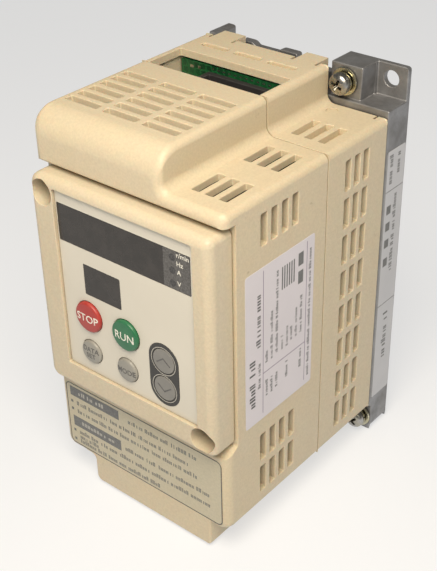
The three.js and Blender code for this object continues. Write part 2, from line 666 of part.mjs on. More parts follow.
// A key cap: a domed face in front of the overlay, a body through the bezel, a flange behind it, a stem.
function addKey({ name, x, z, radius, rise, colour }) {
  const face = OVERLAY_FRONT - rise;
  const flangeFront = PLATE_BACK + GAP;
  const stemEnd = BOARD_FRONT - GAP - SWITCH.height - KEY_TRAVEL - 0.2;
  const cap = turnedAboutY([
    [0, face],
    [radius * 0.7, face + rise * 0.1],
    [radius, face + rise * 0.6],
    [radius, PLATE_FRONT - KEY_TRAVEL - 0.1],
    [radius - KEY_FLANGE.neck, PLATE_FRONT - KEY_TRAVEL - 0.1],
    [radius - KEY_FLANGE.neck, flangeFront],
    [radius + KEY_FLANGE.reach, flangeFront],
    [radius + KEY_FLANGE.reach, flangeFront + KEY_FLANGE.thick],
    [STEM_RADIUS, flangeFront + KEY_FLANGE.thick],
    [STEM_RADIUS, stemEnd],
    [0, stemEnd],
  ], x, z, 24);
  addPiece(name, cap, { color: colour, roughness: 0.4, metalness: 0 });
}

// A board-mounted push switch with its plunger under the key's stem.
function addKeySwitch({ name, x, z }) {
  const back = BOARD_FRONT - GAP;
  const half = SWITCH.size / 2;
  const body = boxSolid(x - half, x + half, back - SWITCH.height + 0.4, back, z - half, z + half);
  const plunger = rodSolid(SWITCH.plunger, back - SWITCH.height, back - 0.5, x, z, 12);
  addPiece(name.replace('_key', '_switch'), body.add(plunger), 'black');
}

function boardSolid(board, shape) {
  return toSolid(alongY(shape, board.front, board.front + board.thick));
}

function addKeypadUnit() {
  addPiece('keypad_bezel', keypadBezel(), 'bezel');
  addPiece('keypad_overlay', keypadOverlay(), 'overlay');
  addPiece('display_lens', alongY(panelShape(DISPLAY, 0, 0.4), OVERLAY_FRONT, OVERLAY_BACK), 'smoke');
  addPiece('indicator_window', alongY(panelShape(SMALL_WINDOW, 0, 0.4), OVERLAY_FRONT, OVERLAY_BACK), 'smoke');
  addPiece('arrow_key_surround', arrowKeySurround(), 'darkPad');
  KEYS.forEach(addKey);
  KEYS.forEach(addKeySwitch);
  BEZEL_SCREWS.forEach(([x, z], index) => {
    const seat = PANEL_Y - GAP - BEZEL_FLOOR - GAP;
    addPiece(`bezel_screw_${index + 1}`, screw(x, z, seat, M3_HEAD, BEZEL_SHANK, 14), 'steel');
  });

  addPiece('display_board', boardSolid(DISPLAY_BOARD, panelShape(DISPLAY_BOARD, 0, 0)), 'board');
  const behind = BOARD_FRONT - GAP;
  addPiece('digit_display', alongY(panelShape(DIGITS, 0, 0), PLATE_FRONT + 0.6, behind), 'black');
  LAMPS.rows.forEach((z, index) => {
    addPiece(`unit_lamp_${index + 1}`, rod(LAMPS.radius, PLATE_FRONT + 0.8, behind, LAMPS.x, z, 12), 'lamp');
  });
}

// ---------------------------------------------------------------- labels
const LABEL_THICK = 0.15;
const NAMEPLATE = { front: -79.9, back: -48.0, bottom: 33.8, top: 86.0, corner: 0.8 };
const CAUTION_LABEL = { front: -10.9, back: -0.7, bottom: 3.6, top: 96.5, corner: 0.5 };
const PRINTED_PANEL = { left: -32.4, right: 32.7, bottom: 0.9, top: 26.1, corner: 2 };

// A label on the right-hand side.
function sideLabel({ front, back, bottom, top, corner }) {
  const shape = rectangle(front, bottom, back, top, corner, 2);
  return alongX(shape, HALF_WIDTH + SKIN, HALF_WIDTH + SKIN + LABEL_THICK);
}

function addLabels() {
  addPiece('nameplate_label', sideLabel(NAMEPLATE), 'label');
  addPiece('caution_label', sideLabel(CAUTION_LABEL), 'label');
  const panel = panelShape(PRINTED_PANEL, 0, PRINTED_PANEL.corner);
  addPiece('warning_label', alongY(panel, FACE_Y - SKIN - LABEL_THICK, FACE_Y - SKIN), 'housing');
}

// ---------------------------------------------------------------- electronics in the housing
const BOARD_STEP = { x: 10.4, z: 104.5 }; // the power board's top right corner is cut away here
const BOARD_BORE = 1.7;
const HEADER = { left: -20.5, right: 9.6, deep: 9.4, bottom: 101, top: 114.7 };
const HEADER_SLOT = { left: -18.6, right: 7.7, near: 2.2, far: 7.2, bottom: 106 };
const POWER_TERMINALS = { poles: 6, left: -24, pitch: 8, deep: 12, bottom: 5, top: 20 };
const SIGNAL_TERMINALS = { poles: 9, left: -15.6, pitch: 4.2, deep: 8.4, bottom: 6.5, top: 20 };
const CAPACITORS = [[-17.5, 86], [-17.5, 62]];
const CAPACITOR = { radius: 10.8, length: 36, bevel: 0.8 };
const TRANSFORMER = { left: 6, right: 30, bottom: 24, top: 48, deep: 22, coilOut: 1.8, coilIn: 3, corner: 3 };
const RELAY = { left: 8, right: 27, bottom: 56, top: 70, deep: 15.5 };
const FUSE = { radius: 2.6, length: 20, x: 16, z: 78 };
const MODULE = { half: 22, bottom: 40, top: 65, front: -19.9, back: -14.3 };
const MODULE_PINS = { count: 8, left: -16.1, pitch: 4.6, half: 0.4, end: -25.4, inset: 1 };
const PAD = { front: -13.95, back: -13.5 };
const KEYPAD_CONNECTOR = { left: -9, right: 9, bottom: 62, top: 70 };
const LINK_HEADER = { left: 4, right: 26, bottom: 84, top: 88 };
const SHANKS = { module: 13, board: 9 };
const MAIN_FACE = POWER_BOARD.front - GAP; // where parts stand on the power board

function powerBoard() {
  const { left, right, bottom, top, front } = POWER_BOARD;
  const shape = outline([
    [left, bottom],
    [right, bottom],
    [right, BOARD_STEP.z],
    [BOARD_STEP.x, BOARD_STEP.z],
    [BOARD_STEP.x, top],
    [left, top],
  ]);
  const holes = BOARD_POSTS.map(([x, z]) => rodSolid(BOARD_BORE, front - 1, front + 3, x, z, 12));
  return cutAll(boardSolid(POWER_BOARD, shape), holes);
}

// A part standing on the power board, from the board forward.
function onPowerBoard({ left, right, bottom, top, deep }) {
  return box(left, right, MAIN_FACE - deep, MAIN_FACE, bottom, top);
}

// A header with a long slot in its top for the plug.
function topConnector() {
  const { left, right, near, far, bottom } = HEADER_SLOT;
  const slot = boxSolid(left, right, MAIN_FACE - far, MAIN_FACE - near, bottom, HEADER.top + 1);
  return toSolid(onPowerBoard(HEADER)).subtract(slot);
}

// A block of cable terminals: one entry below and one screw shaft in front for each pole.
function terminalBlock({ poles, left, pitch, deep, bottom, top }, yBack) {
  const entry = pitch * 0.32;
  const yFront = yBack - deep;
  const middle = (yFront + yBack) / 2;
  let block = boxSolid(left, left + poles * pitch, yFront, yBack, bottom, top);
  for (let pole = 0; pole < poles; pole += 1) {
    const x = left + (pole + 0.5) * pitch;
    block = block
      .subtract(boxSolid(x - entry, x + entry, middle - 2, middle + 2, bottom - 1, bottom + 5))
      .subtract(rodSolid(entry, yFront - 1, yFront + 2, x, bottom + (top - bottom) * 0.7, 12));
  }
  return block;
}

function capacitor([x, z]) {
  const { radius, length, bevel } = CAPACITOR;
  return turnedAboutY([
    [0, MAIN_FACE - length],
    [radius - bevel, MAIN_FACE - length],
    [radius, MAIN_FACE - length + bevel],
    [radius, MAIN_FACE],
    [0, MAIN_FACE],
  ], x, z, 24);
}

// The moulded power module, with a screw hole at each end and two rows of pins up to the board.
function powerModule() {
  const { half, bottom, top, front, back } = MODULE;
  const pins = [];
  for (let index = 0; index < MODULE_PINS.count; index += 1) {
    const x = MODULE_PINS.left + index * MODULE_PINS.pitch;
    const wide = MODULE_PINS.half;
    [bottom + MODULE_PINS.inset, top - MODULE_PINS.inset - 2 * wide].forEach((z) => {
      pins.push(boxSolid(x - wide, x + wide, MODULE_PINS.end, front + 1, z, z + 2 * wide));
    });
  }
  const holes = MODULE_SCREWS.map(([x, z]) => rodSolid(MODULE_HOLE.radius, front - 1, back + 1, x, z, 16));
  return cutAll(joinAll([boxSolid(-half, half, front, back, bottom, top), ...pins]), holes);
}

function thermalPad() {
  const sheet = boxSolid(-MODULE.half, MODULE.half, PAD.front, PAD.back, MODULE.bottom, MODULE.top);
  const holes = MODULE_SCREWS.map(([x, z]) => rodSolid(MODULE_HOLE.radius, PAD.front - 1, PAD.back + 1, x, z, 16));
  return cutAll(sheet, holes);
}

function transformer() {
  const { left, right, bottom, top, deep, coilOut, coilIn, corner } = TRANSFORMER;
  const coil = rectangle(
    MAIN_FACE - deep + coilIn, bottom + coilIn + 0.5, MAIN_FACE - coilIn, top - coilIn - 0.5, corner, 3,
  );
  return toSolid(onPowerBoard(TRANSFORMER)).add(toSolid(alongX(coil, left - coilOut, right + coilOut)));
}

function fuse() {
  const { radius, length, x, z } = FUSE;
  return new THREE.CylinderGeometry(radius, radius, length, 16)
    .rotateZ(Math.PI / 2)
    .translate(x, MAIN_FACE - radius, z);
}

function addElectronics() {
  addPiece('power_board', powerBoard(), 'board');
  addPiece('top_connector', topConnector(), 'black');
  addPiece('power_terminal_block', terminalBlock(POWER_TERMINALS, MAIN_FACE), 'grey');
  CAPACITORS.forEach((place, index) => {
    addPiece(`bus_capacitor_${index + 1}`, capacitor(place), 'black');
  });
  addPiece('transformer', transformer(), 'amber');
  addPiece('relay', onPowerBoard(RELAY), 'blue');
  addPiece('fuse', fuse(), 'glass');
  addPiece('power_module', powerModule(), 'black');
  addPiece('thermal_pad', thermalPad(), 'grey');
  MODULE_SCREWS.forEach(([x, z], index) => {
    addPiece(`module_screw_${index + 1}`, screw(x, z, MODULE.front - GAP, M3_HEAD, SHANKS.module, 12), 'steel');
  });
  BOARD_POSTS.forEach(([x, z], index) => {
    addPiece(`board_screw_${index + 1}`, screw(x, z, MAIN_FACE, M3_HEAD, SHANKS.board, 12), 'steel');
  });

  const controlBack = CONTROL_BOARD.front + CONTROL_BOARD.thick + GAP;
  const controlFace = CONTROL_BOARD.front - GAP;
  const displayBack = DISPLAY_BOARD.front + DISPLAY_BOARD.thick + GAP;
  const between = (shape, front, back) => alongY(panelShape(shape, 0, 0), front, back);
  addPiece('control_board', boardSolid(CONTROL_BOARD, panelShape(CONTROL_BOARD, 0, 0)), 'board');
  addPiece('keypad_connector', between(KEYPAD_CONNECTOR, displayBack, controlFace), 'black');
  addPiece('board_link_header', between(LINK_HEADER, controlBack, MAIN_FACE), 'black');
  addPiece('signal_terminal_block', terminalBlock(SIGNAL_TERMINALS, controlFace), 'grey');
}

// ---------------------------------------------------------------- assembly
addPiece('heatsink_base', heatsinkBase(), 'aluminium');
addPiece('rear_case', rearCase(), 'housing');
addPiece('front_case', frontCase(), 'housing');
EARTH_SCREWS.forEach(addEarthScrew);
addKeypadUnit();
addLabels();
addElectronics();

// The origin is the centre of the bottom of the bounding box.
const bounds = new THREE.Box3().setFromObject(drive);
const middle = bounds.getCenter(new THREE.Vector3());
drive.position.set(-middle.x, -middle.y, -bounds.min.z);

const group = new THREE.Group();
group.name = 'variable_frequency_drive';
group.add(drive);

export default group;
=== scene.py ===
"""Looks for a compact variable frequency drive: housing, keypad unit, die-cast heat sink and earth screws.

Shapes are made in millimetres in a design frame, and place() moves them to the frame in metres.
In the design frame X = 0 is the housing's centre plane, Y = 0 the mounting plane behind the heat sink,
and Z = 0 the underside of the housing. The keypad faces -Y.
"""
import math
import random

import bmesh
import bpy
from mathutils import Matrix, Vector


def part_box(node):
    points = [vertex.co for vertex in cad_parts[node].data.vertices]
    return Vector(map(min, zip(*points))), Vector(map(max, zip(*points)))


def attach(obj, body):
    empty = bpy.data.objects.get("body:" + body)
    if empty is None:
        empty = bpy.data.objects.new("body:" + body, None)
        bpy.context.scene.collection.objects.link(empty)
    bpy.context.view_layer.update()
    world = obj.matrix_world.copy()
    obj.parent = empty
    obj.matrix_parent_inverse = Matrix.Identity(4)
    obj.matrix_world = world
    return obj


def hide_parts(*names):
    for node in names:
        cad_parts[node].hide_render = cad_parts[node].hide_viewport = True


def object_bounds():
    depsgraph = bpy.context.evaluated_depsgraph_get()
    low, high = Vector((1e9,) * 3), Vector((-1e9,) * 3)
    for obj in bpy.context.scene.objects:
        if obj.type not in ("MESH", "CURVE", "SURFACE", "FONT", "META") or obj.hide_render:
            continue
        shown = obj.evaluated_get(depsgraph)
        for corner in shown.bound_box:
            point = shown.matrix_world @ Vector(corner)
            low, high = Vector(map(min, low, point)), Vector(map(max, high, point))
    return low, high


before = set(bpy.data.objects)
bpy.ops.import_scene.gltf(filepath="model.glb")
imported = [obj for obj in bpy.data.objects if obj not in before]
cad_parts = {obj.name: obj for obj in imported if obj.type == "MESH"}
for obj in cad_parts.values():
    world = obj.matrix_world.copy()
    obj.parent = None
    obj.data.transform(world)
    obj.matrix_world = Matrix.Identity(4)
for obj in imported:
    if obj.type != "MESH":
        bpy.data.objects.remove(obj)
cad_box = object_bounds()

MM = 0.001
HOUSING_LOW, HOUSING_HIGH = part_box("rear_case")
ORIGIN = Vector((
    (HOUSING_LOW.x + HOUSING_HIGH.x) / 2,
    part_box("heatsink_base")[1].y,
    HOUSING_LOW.z,
))
TO_FRAME = Matrix.Translation(ORIGIN) @ Matrix.Scale(MM, 4)


class Span:
    """The box of a CAD node in the design frame."""

    def __init__(self, node):
        low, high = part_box(node)
        self.low = (low - ORIGIN) / MM
        self.high = (high - ORIGIN) / MM
        self.middle = (self.low + self.high) / 2
        self.size = self.high - self.low


# ---------------------------------------------------------------- dimensions
FRONT = Span("front_case")
REAR = Span("rear_case")
SINK = Span("heatsink_base")
BEZEL = Span("keypad_bezel")
OVERLAY = Span("keypad_overlay")
LENS = Span("display_lens")
SMALL_WINDOW = Span("indicator_window")
ARROW_PAD = Span("arrow_key_surround")

HALF_WIDTH = REAR.high.x
HOOD_Z = REAR.high.z
SHOULDER_Z = 108.0
HOOD_RIGHT = 13.4
HOOD_BOTTOM = 104.1
HOOD_FILLET = 8.0
FACE_Y = FRONT.low.y
SEAM_FRONT = FRONT.high.y
SEAM_BACK = REAR.low.y
PANEL_Y = -83.4
CASE_BACK = -11.9
LEDGE_TOP = 30.1
LEDGE_BOTTOM = 27.6
WALL = 2.4
SEAM_ROUND = 0.16
TOP_RADIUS = 2.2
RISER_RADIUS = 2.8
FACE_ROUNDS = {"side": 3.0, "riser": 2.3, "shoulder": 2.6, "hood": HOOD_FILLET, "base": 0.9}
VENT_DEPTH = WALL + 0.6
BOARD_POSTS = [(-28, 12), (28, 12), (-28, 96), (28, 96)]
SKIRT = {"left": -21.6, "right": 27.6, "bottom": FRONT.low.z, "back": -62.0, "wall": 2.2}
CABLE_OPENING = {"left": -19.2, "right": 25.2, "front": -85.9, "back": -62.2}

VENT_WIDTH = 2.75
VENT_HEIGHT = 9.8
VENT_ROW_TOP = 102.4
VENT_ROW_PITCH = 12.47
VENT_ROWS = 8
SHOULDER_VENT = {"left": 17.9, "pitch": 4.72, "length": 11.4}
HOOD_VENT = {"left": -31.9, "front": -77.4, "width": 12.4, "pitch_x": 14.73, "pitch_y": 4.63}

TOP_WINDOW = {"left": -31.8, "right": 10.7, "back": -27.6}
SNAP_TABS = [(-31.2, -21.9), (1.4, 10.2)]

SINK_LEDGE = 110.1
SINK_PLATE = 3.0
EAR_PLATE = 1.9
BOSS_Y = -10.2
SINK_FRONT = -11.6
MOUNT_HOLES = [(29.2, 115.9), (-29.2, -5.4)]
MOUNT_HOLE_RADIUS = 2.6

OVERLAY_FRONT = OVERLAY.low.y
RECESS_BACK = OVERLAY.high.y + 0.3
BEZEL_PLATE_BACK = BEZEL.low.y + 3.1
POCKET_RADIUS = 4.1
KEYS = ["stop_key", "run_key", "data_set_key", "mode_key", "up_key", "down_key"]
ARROW_KEYS = ("up_key", "down_key")
KEY_GAP = 0.14
FLANGE_WIDTH = 0.5

LABEL_THICK = 0.12
PANEL_THICK = 0.03
INK_THICK = 0.02


def new_object(name, data):
    made = bpy.data.objects.new(name, data)
    bpy.context.scene.collection.objects.link(made)
    return made


def quarter(steps, first=0):
    """Angles from 0 to a right angle in equal steps."""
    return [math.pi / 2 * step / steps for step in range(first, steps + 1)]


# ---------------------------------------------------------------- meshes
def mesh_of(vertices, faces):
    mesh = bpy.data.meshes.new("solid")
    mesh.from_pydata([tuple(v) for v in vertices], [], faces)
    shape = bmesh.new()
    shape.from_mesh(mesh)
    bmesh.ops.recalc_face_normals(shape, faces=shape.faces)
    shape.to_mesh(mesh)
    shape.free()
    return mesh


def loft(loops, closed=False):
    """A closed solid through loops with the same number of points, capped unless it closes on itself."""
    count = len(loops[0])
    vertices = [point for loop in loops for point in loop]
    steps = len(loops) if closed else len(loops) - 1
    faces = []
    for step in range(steps):
        near, far = step * count, (step + 1) % len(loops) * count
        for index in range(count):
            after = (index + 1) % count
            faces.append((near + index, near + after, far + after, far + index))
    if not closed:
        faces.append(tuple(range(count)))
        faces.append(tuple(range((len(loops) - 1) * count, len(loops) * count)))
    return mesh_of(vertices, faces)


def rounded_outline(corners, per_quarter=6):
    """Points round a closed outline. A corner is (a, b) or (a, b, radius)."""
    points = []
    for index, corner in enumerate(corners):
        spot = Vector(corner[:2])
        radius = corner[2] if len(corner) > 2 else 0
        if not radius:
            points.append(spot)
            continue
        before = (Vector(corners[index - 1][:2]) - spot).normalized()
        after = (Vector(corners[(index + 1) % len(corners)][:2]) - spot).normalized()
        half = before.angle(after) / 2
        centre = spot + (before + after).normalized() * (radius / math.sin(half))
        start = spot + before * (radius / math.tan(half)) - centre
        turn = math.pi - 2 * half
        side = -1 if before.cross(after) > 0 else 1
        steps = max(1, round(per_quarter * turn / (math.pi / 2)))
        for step in range(steps + 1):
            angle = side * turn * step / steps
            spun = Matrix.Rotation(angle, 2) @ start
            points.append(spun + centre)
    return points


def rectangle(left, bottom, right, top, radius=0, per_quarter=6):
    corners = [(left, bottom, radius), (right, bottom, radius), (right, top, radius), (left, top, radius)]
    return rounded_outline(corners, per_quarter)


PLANES = {
    "X": lambda a, b, depth: Vector((depth, a, b)),
    "Y": lambda a, b, depth: Vector((a, depth, b)),
    "Z": lambda a, b, depth: Vector((a, b, depth)),
}


def prism(outline, axis, low, high):
    """An outline across the axis, extruded along it from low to high."""
    point = PLANES[axis]
    return loft([[point(p[0], p[1], depth) for p in outline] for depth in (low, high)])


def block(x0, x1, y0, y1, z0, z1):
    return prism([(x0, y0), (x1, y0), (x1, y1), (x0, y1)], "Z", z0, z1)


def joined(meshes):
    """Several closed meshes as one, for shapes that don't touch each other."""
    shape = bmesh.new()
    for mesh in meshes:
        shape.from_mesh(mesh)
    whole = bpy.data.meshes.new("joined")
    shape.to_mesh(whole)
    shape.free()
    return whole


def evaluated(mesh, *modifiers):
    """The mesh with modifiers applied. Each is (type, settings)."""
    holder = new_object("holder", mesh)
    for kind, settings in modifiers:
        modifier = holder.modifiers.new(kind.lower(), kind)
        for name, value in settings.items():
            setattr(modifier, name, value)
    depsgraph = bpy.context.evaluated_depsgraph_get()
    result = bpy.data.meshes.new_from_object(holder.evaluated_get(depsgraph), depsgraph=depsgraph)
    bpy.data.objects.remove(holder)
    return result


def boolean(base, tool, operation="DIFFERENCE"):
    other = new_object("tool", tool)
    settings = {"solver": "MANIFOLD", "operation": operation, "object": other}
    result = evaluated(base, ("BOOLEAN", settings))
    bpy.data.objects.remove(other)
    return result


def united(meshes):
    whole = meshes[0]
    for mesh in meshes[1:]:
        whole = boolean(whole, mesh, "UNION")
    return whole


def cut(base, tools):
    return boolean(base, joined(tools))


AXIS_DIRECTIONS = {"X": Vector((1, 0, 0)), "Y": Vector((0, 1, 0)), "Z": Vector((0, 0, 1))}


def rounded(mesh, rules, otherwise=0.0, segments=6, where=None):
    """Rounds the edges of a flat-sided solid.

    A rule is (axis, places, radius): it takes edges along that axis, or any edge where the axis is None,
    whose ends both lie at the coordinates in places. otherwise is the radius of an edge that no rule takes.
    """
    shape = bmesh.new()
    shape.from_mesh(mesh)
    bmesh.ops.remove_doubles(shape, verts=shape.verts, dist=0.002)
    bmesh.ops.dissolve_limit(shape, angle_limit=math.radians(0.3), verts=shape.verts, edges=shape.edges)
    weight = shape.edges.layers.float.new("bevel_weight_edge")
    widest = max([rule[2] for rule in rules] + [otherwise])
    for edge in shape.edges:
        ends = [vertex.co for vertex in edge.verts]
        direction = (ends[1] - ends[0]).normalized()
        radius = otherwise if where is None or where(ends) else 0.0
        for axis, places, wanted in rules:
            if axis and abs(direction.dot(AXIS_DIRECTIONS[axis])) < 0.999:
                continue
            if all(abs(getattr(end, name) - at) < 0.05 for end in ends for name, at in places.items()):
                radius = wanted
                break
        edge[weight] = radius / widest
    clean = bpy.data.meshes.new("clean")
    shape.to_mesh(clean)
    shape.free()
    settings = {
        "limit_method": "WEIGHT",
        "width": widest,
        "segments": segments,
        "use_clamp_overlap": False,
        "loop_slide": True,
    }
    return evaluated(clean, ("BEVEL", settings))


FACINGS = {
    "front": (Vector((1, 0, 0)), Vector((0, 0, 1)), Vector((0, 1, 0))),
    "back": (Vector((1, 0, 0)), Vector((0, 0, 1)), Vector((0, -1, 0))),
    "top": (Vector((1, 0, 0)), Vector((0, 1, 0)), Vector((0, 0, -1))),
    "bottom": (Vector((1, 0, 0)), Vector((0, 1, 0)), Vector((0, 0, 1))),
    "right": (Vector((0, 1, 0)), Vector((0, 0, 1)), Vector((-1, 0, 0))),
    "left": (Vector((0, 1, 0)), Vector((0, 0, 1)), Vector((1, 0, 0))),
}


def opening(face, centre, size, depth, corner=0.45, rim=0.3, draft=0.0, per_quarter=3):
    """A cutter for an opening in a surface that looks towards face, with a rounded rim.

    size is the opening's width and height on that surface, and draft narrows it towards its end.
    """
    across, upward, inward = FACINGS[face]
    stages = [(-1.0, rim), (-0.01, rim)]
    stages += [(rim * (1 - math.cos(angle)), rim * (1 - math.sin(angle))) for angle in quarter(4, 1)]
    stages.append((depth, -draft))
    loops = []
    for sink, growth in stages:
        half_a, half_b = size[0] / 2 + growth, size[1] / 2 + growth
        outline = rectangle(-half_a, -half_b, half_a, half_b, max(corner + growth, 0.05), per_quarter)
        loops.append([Vector(centre) + across * p[0] + upward * p[1] + inward * sink for p in outline])
    return loft(loops)


def round_opening(face, centre, radius, depth, rim=0.25, per_quarter=12):
    return opening(face, centre, (2 * radius, 2 * radius), depth, radius - 0.001, rim, 0.0, per_quarter)


def circle(radius, x, z, y, count):
    angles = [2 * math.pi * index / count for index in range(count)]
    return [Vector((x + radius * math.cos(a), y, z + radius * math.sin(a))) for a in angles]


def turned(profile, x, z, count=64):
    """A solid of revolution about a line along Y. The profile is (radius, y) from front to back."""
    return loft([circle(radius, x, z, y, count) for radius, y in profile])


def swept_ring(section, x, z, count=72, sweep=360.0, rise=0.0, start=0.0):
    """A ring about a line along Y, from a closed section of (radius, y). rise makes it climb."""
    loops = []
    whole = sweep >= 360.0
    for index in range(count if whole else count + 1):
        share = index / count
        angle = math.radians(start + sweep * share)
        spoke = Vector((math.cos(angle), 0, math.sin(angle)))
        loops.append([
            Vector((x, 0, z)) + spoke * radius + Vector((0, y + rise * share, 0)) for radius, y in section
        ])
    return loft(loops, closed=whole)


# ---------------------------------------------------------------- pieces
def place(name, mesh, material, body="drive_body", stands_for=(), sharp=38.0):
    """Makes a piece of a mesh in the design frame: smooth shaded, riding on its body."""
    mesh.transform(TO_FRAME)
    mesh.name = name
    mesh.materials.clear()
    mesh.materials.append(material)
    mesh.shade_smooth()
    mesh.set_sharp_from_angle(angle=math.radians(sharp))
    piece = new_object(name, mesh)
    weighted = piece.modifiers.new("weighted_normals", "WEIGHTED_NORMAL")
    weighted.keep_sharp = True
    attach(piece, body)
    if stands_for:
        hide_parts(*stands_for)
    return piece


# ---------------------------------------------------------------- materials
def linear(red, green, blue):
    """A colour from display values 0 to 255."""
    def channel(value):
        share = value / 255
        return share / 12.92 if share <= 0.04045 else ((share + 0.055) / 1.055) ** 2.4
    return (channel(red), channel(green), channel(blue), 1.0)


def tinted(colour, factor):
    return tuple(channel * factor for channel in colour[:3]) + (1.0,)


class Shader:
    """A node material with one Principled BSDF, and short calls for the nodes that feed it."""

    def __init__(self, name, colour, roughness, **settings):
        self.material = bpy.data.materials.new(name)
        self.material.use_nodes = True
        self.material.diffuse_color = colour
        self.tree = self.material.node_tree
        self.surface = self.tree.nodes["Principled BSDF"]
        self.surface.inputs["Base Color"].default_value = colour
        self.surface.inputs["Roughness"].default_value = roughness
        for socket, value in settings.items():
            self.surface.inputs[socket.replace("_", " ")].default_value = value
        self.place = self.node("TexCoord").outputs["Object"]
        self.normal = None

    def node(self, kind, inputs=None, **settings):
        made = self.tree.nodes.new("ShaderNode" + kind)
        for key, value in settings.items():
            setattr(made, key, value)
        for key, value in (inputs or {}).items():
            self.feed(made.inputs[key], value)
        return made

    def feed(self, socket, value):
        if isinstance(value, bpy.types.NodeSocket):
            self.tree.links.new(value, socket)
        else:
            socket.default_value = value

    def noise(self, scale, detail=3.0, roughness=0.5, stretch=(1, 1, 1)):
        """Noise with about scale features per metre along each axis, times stretch."""
        spread = self.node("Mapping", {"Vector": self.place, "Scale": Vector(stretch)})
        inputs = {"Vector": spread.outputs[0], "Scale": scale, "Detail": detail, "Roughness": roughness}
        return self.node("TexNoise", inputs).outputs["Fac"]

    def ramp(self, source, low, high, start=0.0, end=1.0):
        inputs = {"Value": source, "From Min": low, "From Max": high, "To Min": start, "To Max": end}
        return self.node("MapRange", inputs).outputs["Result"]

    def math(self, operation, first, second):
        return self.node("Math", {0: first, 1: second}, operation=operation).outputs[0]

    def mix(self, share, first, second, blend="MIX"):
        made = self.node("Mix", data_type="RGBA", blend_type=blend)
        for key, value in (("Factor", share), ("A", first), ("B", second)):
            sockets = [s for s in made.inputs if s.name == key and s.enabled]
            self.feed(sockets[0], value)
        return [s for s in made.outputs if s.enabled][0]

    def crevices(self, reach, samples=6):
        """1 in tight corners and gaps, 0 on open surfaces."""
        inside = self.node("AmbientOcclusion", {"Distance": reach}, samples=samples).outputs["AO"]
        return self.ramp(inside, 0.75, 0.25)

    def edges(self, radius, samples=4):
        """1 along outer and inner edges, 0 on flat surfaces."""
        soft = self.node("Bevel", {"Radius": radius}, samples=samples).outputs["Normal"]
        hard = self.node("NewGeometry").outputs["Normal"]
        facing = self.node("VectorMath", {0: soft, 1: hard}, operation="DOT_PRODUCT").outputs["Value"]
        return self.ramp(facing, 0.995, 0.85)

    def bump(self, height, strength, distance):
        inputs = {"Height": height, "Strength": strength, "Distance": distance}
        if self.normal is not None:
            inputs["Normal"] = self.normal
        self.normal = self.node("Bump", inputs).outputs["Normal"]
        self.feed(self.surface.inputs["Normal"], self.normal)

    def grain(self, scale, detail, strength, distance, roughness=0.5):
        """Fine relief from noise."""
        self.bump(self.noise(scale, detail, roughness), strength, distance)

    def paint_gap_shade(self, body, reach, share, dark):
        """The body's colour with painted shade: tight corners and gaps, found by ambient occlusion, turned
        towards dark.
        """
        return self.mix(self.math("MULTIPLY", self.crevices(reach), share), body, dark)

    def uneven_gloss(self, scale, detail, low, high):
        """Roughness that wanders from low to high."""
        self.roughness(self.ramp(self.noise(scale, detail), 0.3, 0.7, low, high))

    def colour(self, value):
        self.feed(self.surface.inputs["Base Color"], value)

    def roughness(self, value):
        self.feed(self.surface.inputs["Roughness"], value)


def moulded_plastic(name, colour, roughness=0.46, grain=0.12, gap_shade=0.5, yellowing=0.3):
    """Moulded plastic: fine spark-eroded grain, uneven yellowing, painted shade in the gaps, a few marks."""
    glow = {"Subsurface_Weight": 0.12, "Subsurface_Scale": 0.0015, "Specular_IOR_Level": 0.4}
    shader = Shader(name, colour, roughness, **glow)
    aged = linear(214, 186, 128)
    blotches = shader.ramp(shader.noise(22, 4), 0.35, 0.75, 0.0, yellowing)
    body = shader.mix(blotches, colour, tuple(a * 0.45 + c * 0.55 for a, c in zip(aged, colour)))
    mottle = shader.ramp(shader.noise(1500, 2), 0.3, 0.7)
    body = shader.mix(mottle, body, shader.mix(0.1, body, (0, 0, 0, 1)))
    marks = shader.ramp(shader.noise(170, 5, 0.65), 0.69, 0.74, 0.0, 0.35)
    body = shader.mix(marks, body, linear(120, 98, 66))
    # Painted shade: ambient occlusion turns tight corners and gaps towards a brownish dark.
    body = shader.paint_gap_shade(body, 0.0016, gap_shade, linear(122, 92, 50))
    shader.colour(body)
    shader.uneven_gloss(420, 3, roughness - 0.06, roughness + 0.08)
    shader.grain(2600, 2, grain, 0.00006, 0.6)
    shader.grain(60, 2, 0.05, 0.0004)
    return shader.material


def cast_aluminium(name):
    """Die-cast aluminium: dull mottled skin, flow streaks, brighter edges that are partly rubbed wear and partly
    painted highlight, and painted shade in the gaps.
    """
    base = linear(140, 141, 143)
    shader = Shader(name, base, 0.5, Metallic=0.75)
    skin = shader.ramp(shader.noise(190, 6, 0.65), 0.3, 0.72)
    body = shader.mix(skin, linear(122, 122, 123), linear(158, 159, 162))
    streaks = shader.ramp(shader.noise(130, 4, 0.6, (1, 1, 0.16)), 0.4, 0.7, 0.0, 0.4)
    body = shader.mix(streaks, body, linear(130, 126, 122))
    # Lighter edges: partly rubbed wear, partly a painted highlight along the edges.
    rubbed = shader.math("MULTIPLY", shader.edges(0.0006), shader.ramp(shader.noise(300, 3), 0.3, 0.6))
    body = shader.mix(shader.math("MULTIPLY", rubbed, 0.4), body, linear(188, 187, 186))
    # Painted shade: ambient occlusion turns tight corners and gaps towards a dark brownish grey.
    body = shader.paint_gap_shade(body, 0.0015, 0.6, linear(78, 70, 64))
    shader.colour(body)
    shader.roughness(shader.ramp(skin, 0.0, 1.0, 0.56, 0.44))
    shader.grain(1500, 3, 0.22, 0.00008, 0.6)
    shader.grain(190, 3, 0.12, 0.0003)
    return shader.material


